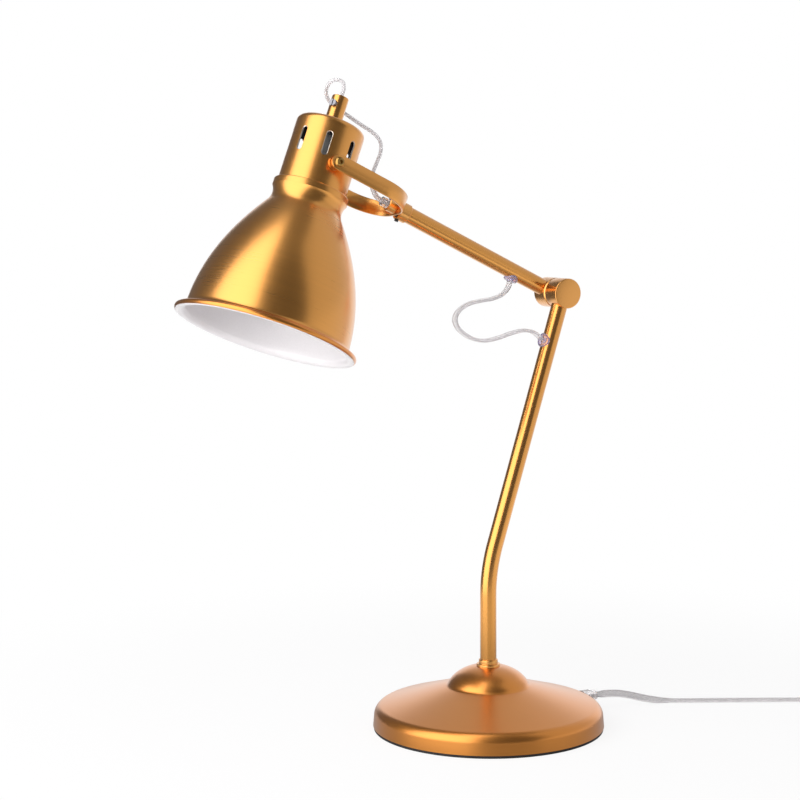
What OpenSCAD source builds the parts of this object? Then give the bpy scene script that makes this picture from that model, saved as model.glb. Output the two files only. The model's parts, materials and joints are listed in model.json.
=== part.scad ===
// Dome shade desk lamp. Millimetres, +Z up. The origin is the middle of the base's underside.
// The arm swings in the XZ plane, the head hangs towards -X and the flex leaves the base at +X.

/* [Base] */
// Diameter of the base shell at its rim
base_d = 170; // [150:1:200]
// Thickness of the soft pad under the base
pad_t = 2; // [1:0.5:4]
// Height at which the side and the sloping top would meet
rim_h = 15.8; // [14:0.1:20]
// Lean of the side, in degrees
side_lean = 5; // [2:0.5:8]
// Radius of the rounded shoulder
shoulder_r = 8; // [4:0.5:9]
// Slope of the top, in degrees
top_slope = 16.5; // [12:0.5:20]
// Diameter of the domed hump under the post
hump_d = 62; // [50:1:70]
// Height of the hump's widest level
hump_z = 27; // [24:0.5:30]
// Rise of the dome above its widest level
hump_rise = 20; // [16:0.5:24]
// Diameter of the dome's flat crown
crown_d = 20; // [18:0.5:26]
// Radius of the groove round the hump's foot
foot_r = 4; // [2:0.5:5]
// Sheet thickness of the base shell
base_wall = 1.5; // [1:0.1:2]

/* [Weight] */
// Room between the cast weight and the rim of the shell around it
weight_gap = 7; // [6:0.5:12]
// Thickness of the weight's web
web_t = 9.5; // [6:0.5:12]
// Width of the weight's raised outer ring
ring_w = 8; // [5:0.5:15]
// Diameter of the weight's middle boss
boss_d = 40; // [34:1:50]
// Height of the boss above the floor
boss_h = 20; // [18:0.5:24]
// Diameter of the recess for the nut
recess_d = 28; // [26:0.5:32]
// Depth of the iron left above the nut's recess
recess_roof = 6.5; // [4:0.5:8]
// Width of the slot that the flex runs through
flex_slot_w = 9; // [7:0.5:12]

/* [Tubes] */
// Outer diameter of the post, the arm and the stem
tube_d = 12; // [10:0.5:16]
// Wall of the tubes
tube_wall = 1; // [0.8:0.1:1.5]
// Height of the post's straight foot
post_straight_h = 98; // [80:1:140]
// Radius of the post's bend, on its centre line
post_bend_r = 125; // [80:5:200]
// Lean of the post above the bend, in degrees
post_lean = 17.5; // [5:0.5:25]
// Height of the elbow's axis
elbow_h = 318; // [260:1:360]
// Distance from the elbow's axis to the yoke's crossbar
arm_len = 144; // [120:1:180]
// Rise of the arm as photographed, in degrees
arm_rise = 26; // [0:0.5:40]

/* [Nipples and nuts] */
// Outer diameter of the threaded nipples
nipple_d = 10; // [8:0.5:12]
// Wall of the threaded nipples
nipple_wall = 1; // [0.8:0.1:1.5]
// How far the nipples reach into the tubes
nipple_grip = 9; // [6:0.5:14]
// Diameter of the nipples' round nuts
nut_d = 16; // [14:0.5:18]
// Thickness of the nipples' nuts
nut_t = 3; // [2:0.5:5]
// Thickness of the large washer under the weight
washer_t = 1.5; // [1:0.1:2]
// Diameter of the collar's flange on the crown
collar_d = 17.5; // [16:0.5:18]
// Thickness of the collar's flange
collar_t = 1.8; // [1:0.1:3]
// Height of the collar's bead above the flange
bead_h = 3.2; // [2:0.1:5]
// Wall of the bead round the tube
bead_wall = 1; // [0.8:0.1:1.5]

/* [Elbow] */
// Diameter of the elbow's two round halves
drum_d = 22; // [18:0.5:26]
// Width of each half
drum_w = 15.5; // [14:0.5:20]
// Bevel of the halves' rims
drum_bevel = 0.8; // [0.3:0.1:1.5]
// Thickness of the friction washer between the halves
friction_t = 0.5; // [0.3:0.1:1]
// Diameter of the elbow's screw
pin_d = 6; // [4:0.5:7]
// Diameter of the screw's head
pin_head_d = 10; // [9:0.5:12]
// Thickness of the screw's head
pin_head_t = 3.5; // [2:0.5:5]
// Diameter of the counterbore that hides the head
counterbore_d = 11; // [10.5:0.5:14]
// Depth of the counterbore
counterbore_depth = 7; // [6:0.5:8]
// Depth of the screw in the front half
pin_grip = 8.5; // [6:0.5:11]
// Thickness of the spring washer under the head
spring_t = 1.5; // [1:0.1:2]
// Reach of the spigots, from the axis into the tubes
spigot_reach = 20; // [16:1:26]

/* [Grommets] */
// Distance from the elbow's axis to the arm's grommet
arm_grommet_at = 36.5; // [28:0.5:50]
// Distance from the elbow's axis to the post's grommet
post_grommet_at = 37.5; // [28:0.5:50]
// Diameter of the grommets' flanges
grommet_d = 10.4; // [9.5:0.1:11.5]
// Diameter of the grommets' necks, in the tubes' holes
grommet_neck_d = 8; // [7.5:0.1:8.5]
// Bore of the grommets
grommet_bore = 6.3; // [6:0.1:7]
// Height of the flanges above the tube
grommet_rise = 1.4; // [1:0.1:2]

/* [Swivel] */
// Diameter of the ferrule at the arm's end
ferrule_d = 14; // [13.5:0.5:17]
// Length of the ferrule
ferrule_l = 8; // [7:0.5:12]
// Diameter of the hollow swivel bolt's shank
bolt_d = 8; // [7:0.1:9]
// Bore of the swivel bolt
bolt_bore = 6.2; // [6:0.1:6.6]
// Depth of the groove that holds the bolt
groove_depth = 0.5; // [0.3:0.1:0.6]
// Diameter of the ferrule's set screw
set_screw_d = 3; // [2:0.5:4]
// How far the set screw stands out of the ferrule
set_screw_out = 1.2; // [0.5:0.1:3]
// Diameter of the bolt's round head inside the yoke
bolt_head_d = 9.4; // [9:0.1:12]
// Length of the bolt's head
bolt_head_l = 7; // [5:0.5:9]
// Diameter of the black washer behind the yoke
black_washer_d = 11; // [10:0.5:13]
// Thickness of the black washer
black_washer_t = 1; // [0.5:0.1:1.5]
// Length of the flex's sleeve beyond the bolt
sleeve_l = 5; // [3:0.5:8]
// Diameter of the flex's sleeve
sleeve_d = 7.2; // [7:0.1:9]

/* [Yoke] */
// Distance from the crossbar to the head's pivots
yoke_reach = 67; // [60:0.5:80]
// Distance between the middles of the yoke's legs
yoke_w = 61; // [58:0.5:70]
// Width of the strap
strap_w = 11; // [9:0.5:14]
// Thickness of the strap
strap_t = 1.5; // [1:0.1:2]
// Radius of the yoke's corners, on the strap's middle
yoke_bend_r = 26; // [15:0.5:29]
// Turn of the yoke about the arm, in degrees
yoke_turn = 6; // [-15:0.5:15]
// Clearance hole of the crossbar round the bolt
crossbar_play = 0.2; // [0.1:0.05:0.4]

/* [Pivots] */
// Diameter of the pivot screws
pivot_d = 4; // [3:0.5:5]
// Diameter of the pivot screws' heads
pivot_head_d = 7; // [6:0.5:9]
// Thickness of the pivot screws' heads
pivot_head_t = 2.2; // [1.5:0.1:3]
// Diameter of the spacers' feet on the cup
spacer_foot_d = 10.4; // [9.5:0.1:12]
// Thickness of the spacers' feet
spacer_foot_t = 2.1; // [1:0.1:3]
// Diameter of the spacers' necks
spacer_d = 9.4; // [8:0.1:11]
// Thickness of the pivot nuts inside the cup
pivot_nut_t = 3; // [2:0.5:4]
// Tilt of the head as photographed, in degrees
head_tilt = 3.4; // [-20:0.1:20]

/* [Cup] */
// Outer diameter of the slotted cup
cup_d = 49; // [44:0.5:52]
// Height of the cup above its pivots
cup_top = 31.5; // [28:0.5:42]
// Depth of the cup below its pivots
cup_bottom = 20; // [16:0.5:24]
// Radius of the cup's rounded top edge
cup_edge_r = 4; // [3:0.5:9]
// Sheet thickness of the cup
cup_wall = 1; // [0.8:0.1:1.5]
// Number of cooling slots
slot_count = 8; // [4:2:12]
// Width of a slot
slot_w = 4; // [3:0.5:5]
// Height of a slot's lower end above the pivots
slot_low = 3; // [2:0.5:6]
// Length of a slot
slot_l = 17; // [12:0.5:20]
// Length of the stem above the cup
stem_l = 21; // [14:0.5:30]
// Height of the stem's screw above the cup
stem_screw_at = 14; // [6:0.5:18]
// Diameter of the stem's screw
stem_screw_d = 5; // [3:0.5:6]
// How far the stem's screw stands out
stem_screw_out = 2.4; // [1:0.1:4]
// Direction of the stem's screw, in degrees from -Y towards -X
stem_screw_turn = 56; // [0:1:90]

/* [Shade] */
// Diameter of the ring round the cup's foot
neck_d = 54; // [52:0.5:60]
// Height of the neck ring above its ledge
neck_h = 3; // [2:0.5:5]
// Depth below the ledge at which the ring ends
neck_drop = 1.5; // [1:0.5:3]
// Depth of the waist below the ledge
waist_drop = 7.5; // [6:0.5:10]
// Radius of the waist's hollow
waist_r = 11; // [9:0.5:14]
// Diameter at the waist
waist_d = 50.4; // [46:0.2:52]
// Turn of the hollow before the bell begins, in degrees
waist_turn = 35; // [25:1:40]
// Pull of the bell's curve at its shoulder
shoulder_pull = 27.6; // [15:0.2:35]
// Pull of the bell's curve at its mouth
mouth_pull = 33.8; // [20:0.2:45]
// Lean of the bell's wall at its mouth, in degrees
mouth_lean = 1.7; // [0:0.1:5]
// Outer diameter of the bell above its lip
bell_d = 116.2; // [100:0.2:130]
// Depth of the lip's underside below the pivots
shade_depth = 126; // [110:1:140]
// Outer diameter of the rolled lip
lip_d = 130; // [126:0.5:146]
// Thickness of the rolled lip
lip_t = 4; // [2:0.1:5]
// Radius of the flare above the lip
flare_r = 4; // [2:0.5:4.5]
// Sheet thickness of the shade
shade_wall = 1; // [0.8:0.1:1.5]
// Thickness of the shelf that carries the shade
shelf_t = 1.2; // [1:0.1:2]

/* [Lampholder and bulb] */
// Outer diameter of the lampholder
holder_d = 28; // [26:0.5:30]
// Wall of the lampholder
holder_wall = 1.5; // [1:0.1:2]
// Depth of the lampholder's mouth below the pivots
holder_mouth = 24.5; // [23:0.5:27]
// Outer diameter of the ring that clamps the shade
clamp_d = 37; // [34:0.5:40]
// Height of the clamping ring
clamp_h = 4.7; // [3:0.1:6]
// Diameter of the bulb's ball
bulb_d = 45; // [40:1:46]
// Distance from the lampholder's mouth to the bulb's far end
bulb_l = 54.5; // [50:0.5:60]
// Diameter of the bulb's screw cap
cap_d = 13.9; // [13:0.1:14.2]
// Wall of the bulb's glass
glass_t = 0.8; // [0.5:0.1:1]

/* [Flex and plug] */
// Width of the flat twin flex
flex_w = 5.6; // [5:0.1:6]
// Thickness of the flat twin flex
flex_t = 2.8; // [2.4:0.1:3.2]
// Height of the flex's gland above the floor
gland_h = 12.5; // [11:0.5:13]
// Diameter of the gland
gland_d = 9.4; // [9:0.1:12]
// Length of the gland outside the base
gland_out = 8; // [5:0.5:12]
// Turns of the spare flex's coil, in both layers together
coil_turns = 7.3; // [4.3:1:9.3]
// Radius of the coil's innermost turn, on the flex's middle
coil_r = 27; // [24:0.5:30]
// Gap between the coil's turns
coil_gap = 0.7; // [0.6:0.05:1.5]
// Gap between the coil's two layers
layer_gap = 0.7; // [0.6:0.05:1.5]
// Length of the flex between the coil and the plug
tail_l = 40; // [30:1:80]
// Length of the plug's neck
plug_neck_l = 12; // [8:0.5:20]
// Width of the plug's body
plug_w = 35.3; // [30:0.1:37]
// Thickness of the plug's body
plug_t = 13.7; // [12:0.1:15]
// Length of the plug's body
plug_l = 36; // [32:0.5:42]
// Length of the plug's pins
plug_pin_l = 19; // [17:0.5:20]
// Diameter of the plug's pins
plug_pin_d = 4; // [3.5:0.1:4.8]
// Distance between the plug's pins
plug_pin_gap = 18.6; // [17:0.1:19]

/* [Fits] */
// Radial clearance of what turns on a shank
turning_fit = 0.05; // [0.02:0.01:0.09]
// Gap between pieces that are clamped or pressed together
seat_gap = 0.02; // [0.01:0.01:0.05]
// Gap round the flex where it passes through a piece
flex_gap = 0.25; // [0.2:0.05:0.3]

/* [Hidden] */
$fn = 72;
brass = "#c9984f";
steel = "#a9a9a6";
black = "#1d1c1b";
clear = "#dcd6cf";
white = "#f2f0ea";

tube_r = tube_d / 2;
bore_r = tube_r - tube_wall;
nipple_r = nipple_d / 2;
nipple_bore_r = nipple_r - nipple_wall;
base_r = base_d / 2;
crown_h = hump_z + hump_rise * sqrt(1 - pow(crown_d / hump_d, 2));
post_foot_h = crown_h + collar_t;
bend_end = [post_bend_r * (1 - cos(post_lean)), post_straight_h + post_bend_r * sin(post_lean)];
elbow_x = bend_end.x + (elbow_h - bend_end.y) * tan(post_lean);
upper_post_l = (elbow_h - bend_end.y) / cos(post_lean);
drum_r = drum_d / 2;
arm_y = drum_w;
seam_front = (drum_w - friction_t) / 2;
seam_back = (drum_w + friction_t) / 2 + turning_fit;
drum_back_end = 1.5 * drum_w;
counterbore_floor = drum_back_end - counterbore_depth;
ferrule_end = arm_len - strap_t / 2 - black_washer_t - turning_fit;
ferrule_start = ferrule_end - ferrule_l;
tube_end = ferrule_start + ferrule_l / 2;
set_screw_x = (tube_end + ferrule_end) / 2;
bolt_end = tube_end - 2;
bolt_head_start = arm_len + strap_t / 2;
cup_r = cup_d / 2;
leg_in = (yoke_w - strap_t) / 2;
leg_out = (yoke_w + strap_t) / 2;
ledge = -cup_bottom;
stem_top = cup_top + stem_l;
shell_bore_r = nipple_r + 0.2;
web_bottom = pad_t + 0.5;
layer_step = flex_w + layer_gap;

// ---- points of outlines ------------------------------------------------------------------

function unit(v) = v / norm(v);
function flipped(list) = [for (i = [len(list) - 1 : -1 : 0]) list[i]];
function mixed(a, b, t) = a + (b - a) * t;
function arc(middle, r, from, to, steps = 10) =
    [for (i = [0 : steps]) middle + r * [cos(mixed(from, to, i / steps)), sin(mixed(from, to, i / steps))]];
function bezier(a, b, c, d, steps) = [for (i = [0 : steps]) let (t = i / steps, u = 1 - t)
    u * u * u * a + 3 * u * u * t * b + 3 * u * t * t * c + t * t * t * d];
// A corner a-b-c rounded with radius r
function rounded(a, b, c, r, steps = 8) =
    let (u = unit(a - b), v = unit(c - b), half = acos(u * v) / 2,
        middle = b + unit(u + v) * r / sin(half),
        s = b + u * r / tan(half) - middle, e = b + v * r / tan(half) - middle,
        from = atan2(s.y, s.x), turn = (atan2(e.y, e.x) - from + 540) % 360 - 180)
    arc(middle, r, from, from + turn, steps);
// An open outline moved by d to its left
function beside(line, d) = [for (i = [0 : len(line) - 1])
    let (a = line[max(i - 1, 0)], b = line[min(i + 1, len(line) - 1)], t = unit(b - a))
    line[i] + d * [-t.y, t.x]];

// ---- places ------------------------------------------------------------------------------

module at_elbow() {
    translate([elbow_x, 0, elbow_h]) children();
}
// Along the post's upper run: Z up the post, the elbow's axis at the origin
module on_post() {
    at_elbow() rotate([0, post_lean, 0]) children();
}
// Along the arm: -X towards the head, the elbow's axis at the origin
module on_arm() {
    translate([0, arm_y, 0]) at_elbow() rotate([0, arm_rise, 0]) children();
}
// On the yoke: the crossbar's middle at the origin, the legs towards -X
module on_yoke() {
    on_arm() translate([-arm_len, 0, 0]) rotate([-yoke_turn, 0, 0]) children();
}
// On the head: Z up the stem, Y along the pivots
module on_head() {
    on_yoke() translate([-yoke_reach, 0, 0]) rotate([0, -head_tilt, 0]) children();
}
module along_y() {
    rotate([-90, 0, 0]) children();
}
module along_minus_x() {
    rotate([0, -90, 0]) children();
}
module ring(outer, inner, h) {
    difference() {
        cylinder(r = outer, h = h);
        translate([0, 0, -1]) cylinder(r = inner, h = h + 2);
    }
}
module lathe(outline) {
    rotate_extrude() polygon(outline);
}

// ---- flat flex ---------------------------------------------------------------------------

// A flat section with round edges. Six sides have points at the edges, eight have flats.
function flex_section(sides) =
    let (first = sides == 6 ? 0 : 180 / sides, wide = cos(first), high = sin(90 - (sides == 6 ? 30 : first)))
    [for (i = [0 : sides - 1]) let (a = first + i * 360 / sides, side = cos(a) < 0 ? -1 : 1)
        [side * (flex_w - flex_t) / 2 + flex_t / 2 * cos(a) / wide, flex_t / 2 * sin(a) / high]];
// A smooth line through the points of a route, with some steps between each two
function smooth(route, steps) = concat([for (i = [0 : len(route) - 2])
    let (a = route[i], b = route[i + 1], da = (b - route[max(i - 1, 0)]) / (i == 0 ? 1 : 2),
        db = (route[min(i + 2, len(route) - 1)] - a) / (i == len(route) - 2 ? 1 : 2))
    for (k = [0 : steps - 1]) let (t = k / steps)
        a * (1 + 2 * t) * pow(1 - t, 2) + da * t * pow(1 - t, 2) + b * t * t * (3 - 2 * t) - db * t * t * (1 - t)],
    [route[len(route) - 1]]);
function heading(line, i) = unit(line[min(i + 1, len(line) - 1)] - line[max(i - 1, 0)]);
function length_of(line, i = 0) =
    i >= len(line) - 1 ? 0 : norm(line[i + 1] - line[i]) + length_of(line, i + 1);
// One ring of the flex: square to its way, with its wide side along a given direction
function flex_ring(middle, way, wide, sides) =
    let (w = unit(wide - (wide * way) * way), n = cross(way, w))
    [for (p = flex_section(sides)) middle + p.x * w + p.y * n];
// The rings along a line. Its ends can be made square to given ways.
function flex_rings(line, wides, sides, first, last) = [for (i = [0 : len(line) - 1])
    let (way = i == 0 && first != undef ? first : i == len(line) - 1 && last != undef ? last : heading(line, i))
    flex_ring(line[i], way, wides[i], sides)];
module flex(rings) {
    sides = len(rings[0]);
    last = len(rings) - 1;
    points = [for (r = rings) each r];
    walls = [for (i = [0 : last - 1], j = [0 : sides - 1])
        let (a = i * sides + j, b = i * sides + (j + 1) % sides)
        each [[a, a + sides, b], [b, a + sides, b + sides]]];
    start = [for (j = [1 : sides - 2]) [0, j, j + 1]];
    finish = [for (j = [1 : sides - 2]) last * sides * [1, 1, 1] + [0, j + 1, j]];
    color(clear) polyhedron(points, concat(walls, start, finish));
}
module flex_along(line, wide, sides = 8) {
    flex(flex_rings(line, [for (p = line) wide], sides));
}
module flex_hole(l) {
    linear_extrude(l) polygon(concat(
        arc([(flex_w - flex_t) / 2, 0], flex_t / 2 + flex_gap, -90, 90),
        arc([-(flex_w - flex_t) / 2, 0], flex_t / 2 + flex_gap, 90, 270)));
}

// The routes. Their points lie on the flex's middle.
elbow_route = [[28.3, 15.5, 329.5], [27.3, 15.5, 327.2], [25.2, 14.8, 322.5], [20, 13.6, 318], [11.4, 12.6, 315],
    [0.6, 11.6, 313.7], [-10.1, 10.7, 311.8], [-19, 9.7, 307], [-22.5, 8.7, 301.3], [-21, 7.8, 295.4],
    [-15.6, 6.8, 290.1], [-8.6, 5.8, 286.5], [0.2, 4.8, 285.2], [10.5, 3.8, 286.8], [21.3, 2.8, 290],
    [31, 1.8, 291.6], [39, 0.9, 289.8], [44.2, 0.2, 285.5], [47.2, 0, 283.8]];
head_route = [[-60.3, 15.5, 378.3], [-67.5, 15.5, 381.8], [-73.5, 15.5, 384.7], [-78, 15.5, 386.9], [-81.8, 17, 391], [-83.2, 19, 397.5],
    [-82.3, 20, 405.5], [-79.3, 19.2, 413.5], [-76.8, 18, 421], [-77, 18.4, 428.5], [-81.3, 21, 434.5],
    [-88.5, 25, 440], [-98, 30, 447.5], [-105.5, 33.3, 453], [-110.5, 33.3, 458.5], [-112.6, 31.2, 464],
    [-111.3, 27.7, 469.3], [-107.7, 24.3, 471.2], [-104, 21.8, 469.2], [-103.6, 21.5, 464.5],
    [-106, 21, 459], [-108, 20.5, 454.5]];
mains_route = [[86.5, 0, 12.5], [93, 0, 12.5], [105, 0, 12], [115, 0, 10.7], [125, 0, 8.2], [135, -0.8, 5.2],
    [145, -2.8, 2.9], [155, -6, 1.8], [165, -10.5, 1.5], [178, -17, 1.5], [193, -24.5, 1.5], [207, -31.5, 1.5],
    [220, -38.2, 1.5], [234, -45.3, 1.5], [247, -52, 1.5]];
flat_end = mains_route[len(mains_route) - 1];
// The coil's middle, and the heading with which the flex runs onto its outer turn
coil_at = [310, -40];
run_heading = -27.1;

// The coil: in along the lower layer, a half turn to climb, and out along the upper one
coil_pitch = flex_t + coil_gap;
coil_from = run_heading - 90;
half_turns = coil_turns / 2;
function coil_radius(n) = coil_r + coil_pitch * abs(n - half_turns);
function coil_height(n) = flex_w / 2 + layer_step * min(max(2 * (n - half_turns) + 0.5, 0), 1);
function coil_point(n) = let (a = coil_from + 360 * n)
    [coil_at.x + coil_radius(n) * cos(a), coil_at.y + coil_radius(n) * sin(a), coil_height(n)];
coil_steps = round(24 * coil_turns);
coil_line = [for (i = [0 : coil_steps]) coil_point(i * coil_turns / coil_steps)];
coil_start = coil_line[0];
coil_stop = coil_line[coil_steps];
stop_heading = coil_from + 360 * coil_turns + 90;
way_out = [cos(stop_heading), sin(stop_heading), 0];
way_in = [cos(run_heading), sin(run_heading), 0];
run_stop = coil_start - flex_w * way_in;
tail_start = coil_stop + flex_w * way_out;
coil_rings = concat([flex_ring(run_stop, way_in, [0, 0, 1], 6)],
    flex_rings(coil_line, [for (p = coil_line) [0, 0, 1]], 6),
    [flex_ring(tail_start, way_out, [0, 0, 1], 6)]);
// Least gap between the coil's turns, from ring to ring of its neighbours
coil_clear = min([for (i = [2 : coil_steps], j = [i + 12 : min(i + 60, coil_steps)])
    each [for (p = coil_rings[i], q = coil_rings[j]) norm(p - q)]]);
echo(coil_least_gap = coil_clear, coil_across = (coil_radius(0) + coil_r) / flex_w);

// The run turns from flat to upright between the last point of its route and the coil
twist_steps = 6;
twist_line = [for (i = [1 : twist_steps]) mixed(flat_end, run_stop, i / twist_steps)];
mains_flat = smooth(mains_route, 2);
mains_line = concat(mains_flat, twist_line);
// The flex's wide side, turned up from level about its way
function wide_side(way, turn) = cos(turn) * [-way.y, way.x, 0] / norm([way.x, way.y]) + sin(turn) * [0, 0, 1];
mains_wides = [for (i = [0 : len(mains_line) - 1])
    wide_side(heading(mains_line, i), 90 * max(0, i - len(mains_flat) + 1) / twist_steps)];
// From the coil to the plug, which lies flat on the floor
plug_z = plug_t / 2;
neck_at = [tail_start.x, tail_start.y, plug_z] + tail_l * way_out;
plug_at = neck_at + plug_neck_l * way_out;
tail_line = smooth([tail_start, mixed(tail_start, neck_at, 0.2) + [0, 0, 0.8 * (tail_start.z - plug_z)] * 0.2,
    mixed(tail_start, neck_at, 0.8), neck_at], 3);
tail_wides = [for (i = [0 : len(tail_line) - 1])
    wide_side(heading(tail_line, i), 90 * (1 - i / (len(tail_line) - 1)))];

// ---- base --------------------------------------------------------------------------------

function side_x(z) = base_r - (z - pad_t) * tan(side_lean);
rim_corner = [side_x(rim_h), rim_h];
function dome(a) = [hump_d / 2 * cos(a), hump_z + hump_rise * sin(a)];
// Where the sloping top meets the dome, as an angle on the dome
dome_slope = hump_d / 2 * tan(top_slope);
meet = asin((rim_h + rim_corner.x * tan(top_slope) - hump_z) / norm([hump_rise, dome_slope]))
    - atan2(dome_slope, hump_rise);
crown_at = acos(crown_d / hump_d);
shell_outside = concat(
    [[base_r, pad_t]],
    rounded([base_r, pad_t], rim_corner, dome(meet), shoulder_r, 10),
    rounded(rim_corner, dome(meet), dome(meet + 8), foot_r, 6),
    [for (i = [0 : 14]) dome(mixed(meet + 8, crown_at, i / 14))],
    [[shell_bore_r, crown_h]]);
shell_inside = concat([[base_r - base_wall, pad_t]],
    [for (i = [1 : len(shell_outside) - 2]) beside(shell_outside, base_wall)[i]],
    [[shell_bore_r, crown_h - base_wall]]);
// Height of the underside of the sloping top
function roof(x) = rim_h + (rim_corner.x - x) * tan(top_slope) - base_wall / cos(top_slope);

module base_pad() {
    color(black) cylinder(r = base_r - 0.5, h = pad_t);
}
module base_shell() {
    color(brass) difference() {
        lathe(concat(shell_outside, flipped(shell_inside)));
        translate([base_r - 12, 0, gland_h]) rotate([0, 90, 0])
            cylinder(d = gland_neck_d + 2 * seat_gap, h = 20);
    }
}
module base_weight() {
    weight_r = base_r - weight_gap;
    shelf_r = weight_r - ring_w;
    web_top = web_bottom + web_t;
    bottom_of_roof = boss_h - recess_roof;
    color("#4a4a48") difference() {
        lathe([[recess_d / 2, web_bottom], [weight_r, web_bottom], [weight_r, roof(weight_r) - seat_gap],
            [shelf_r, roof(shelf_r) - seat_gap], [shelf_r - 3, web_top], [boss_d / 2 + 2, web_top],
            [boss_d / 2, boss_h], [nipple_r + 0.3, boss_h], [nipple_r + 0.3, bottom_of_roof],
            [recess_d / 2, bottom_of_roof]]);
        translate([0, -flex_slot_w / 2, web_bottom - 1]) cube([weight_r + 1, flex_slot_w, 40]);
    }
}
module weight_washer() {
    color(steel) translate([0, 0, boss_h - recess_roof - washer_t - seat_gap])
        ring(recess_d / 2 - 1.5, nipple_r + 0.2, washer_t);
}
module nipple_nut() {
    difference() {
        cylinder(d = nut_d, h = nut_t, $fn = 6);
        translate([0, 0, -1]) cylinder(r = nipple_r + seat_gap, h = nut_t + 2);
    }
}
module weight_nut() {
    color(steel) translate([0, 0, weight_nut_z]) nipple_nut();
}
module post_nut() {
    color(steel) translate([0, 0, crown_h - base_wall - nut_t - seat_gap]) nipple_nut();
}
weight_nut_z = boss_h - recess_roof - washer_t - nut_t - 2 * seat_gap;
module post_nipple() {
    z = weight_nut_z - 1;
    color(steel) translate([0, 0, z])
        ring(nipple_r - seat_gap, nipple_bore_r, post_foot_h + nipple_grip - z);
}
module post_collar() {
    bead_r = tube_r + seat_gap + bead_wall;
    color(brass) translate([0, 0, crown_h]) lathe(concat(
        [[nipple_r + seat_gap, 0], [collar_d / 2, 0]],
        rounded([collar_d / 2, 0], [collar_d / 2, collar_t], [bead_r, collar_t], 0.6, 4),
        [[bead_r, collar_t]],
        rounded([bead_r, collar_t], [bead_r, collar_t + bead_h], [tube_r, collar_t + bead_h], 0.7, 4),
        [[tube_r + seat_gap, collar_t + bead_h], [tube_r + seat_gap, collar_t], [nipple_r + seat_gap, collar_t]]));
}
gland_neck_d = 8;
module gland_body(d, x0, l) {
    translate([x0, 0, gland_h]) rotate([0, 90, 0]) cylinder(d = d, h = l);
}
module cord_gland() {
    out_x = base_r + gland_out;
    in_x = base_r - 6.5;
    flange_t = 1.5;
    color(clear) difference() {
        union() {
            difference() {
                union() {
                    gland_body(gland_d, base_r - 5, 7);
                    translate([base_r + 2, 0, gland_h]) rotate([0, 90, 0])
                        cylinder(d1 = gland_d - 0.8, d2 = gland_d - 2, h = gland_out - 2);
                }
                lathe(concat([[0, pad_t]], beside(shell_outside, -seat_gap), [[0, crown_h]]));
            }
            gland_body(gland_neck_d, in_x, base_r - in_x);
            intersection() {
                gland_body(gland_d + 1.6, in_x, flange_t);
                lathe(concat([[0, pad_t]], beside(shell_inside, seat_gap), [[0, crown_h - base_wall]]));
            }
        }
        translate([in_x - 1, 0, gland_h]) rotate([0, 90, 0]) rotate(90) flex_hole(out_x - in_x + 2);
    }
}

// ---- post --------------------------------------------------------------------------------

module post_run(r) {
    translate([0, 0, post_foot_h + (r < tube_r ? -1 : 0)])
        cylinder(r = r, h = post_straight_h - post_foot_h + (r < tube_r ? 1 : 0));
    translate([post_bend_r, 0, post_straight_h]) rotate([90, 0, 0]) rotate(180 - post_lean)
        rotate_extrude(angle = post_lean) translate([post_bend_r, 0]) circle(r);
    on_post() translate([0, 0, -upper_post_l]) cylinder(r = r, h = upper_post_l);
}
module drum_space() {
    along_y() translate([0, 0, -2 * drum_w]) cylinder(r = drum_r + seat_gap, h = 4 * drum_w);
}
module post_tube() {
    color(brass) difference() {
        post_run(tube_r);
        post_run(bore_r);
        at_elbow() drum_space();
        on_post() translate([0, 0, -post_grommet_at]) along_minus_x()
            cylinder(d = grommet_neck_d + 2 * seat_gap, h = tube_d);
    }
}
// A grommet on a tube along X, its bore along Z
module grommet() {
    top = tube_r + grommet_rise;
    difference() {
        union() {
            translate([0, 0, bore_r - 1]) cylinder(d = grommet_neck_d, h = top - bore_r + 1);
            difference() {
                union() {
                    cylinder(d = grommet_d, h = top - 0.5);
                    translate([0, 0, top - 0.5]) cylinder(d1 = grommet_d, d2 = grommet_d - 1, h = 0.5);
                }
                translate([-tube_d, 0, 0]) rotate([0, 90, 0]) cylinder(r = tube_r + seat_gap, h = 2 * tube_d);
            }
        }
        cylinder(d = grommet_bore, h = tube_d);
    }
}
module post_grommet() {
    color("#b9a9c9") on_post() translate([0, 0, -post_grommet_at]) along_minus_x() grommet();
}
module arm_grommet() {
    color("#b9a9c9") on_arm() translate([-arm_grommet_at, 0, 0]) rotate([180, 0, 0]) grommet();
}
// A point on the post's middle, so far below the elbow along its upper run
function post_point(d, side = 0) = [elbow_x - d * sin(post_lean) - side * cos(post_lean), 0,
    elbow_h - d * cos(post_lean) + side * sin(post_lean)];
module post_lead() {
    bend = [for (i = [0 : 4]) let (a = post_lean * (1 - i / 4))
        [post_bend_r * (1 - cos(a)), 0, post_straight_h + post_bend_r * sin(a)]];
    nipple_end = weight_nut_z - 1;
    flex_along(smooth(concat(
        [post_point(post_grommet_at, 4.5), post_point(post_grommet_at + 1, 2.4), post_point(post_grommet_at + 3.5, 0.5),
            post_point(post_grommet_at + 8), post_point(upper_post_l / 2)],
        bend, [[0, 0, post_foot_h], [0, 0, nipple_end + 8], [0, 0, nipple_end], [1.5, 0, 5.6], [5.6, 0, 4.1],
            [14, 0, 4.2], [30, 0, 5.4], [48, 0, 8.6], [65, 0, 11.7], [77, 0, 12.5], [86.3, 0, 12.5]]), 2), [0, 1, 0]);
}

// ---- elbow -------------------------------------------------------------------------------

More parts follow.
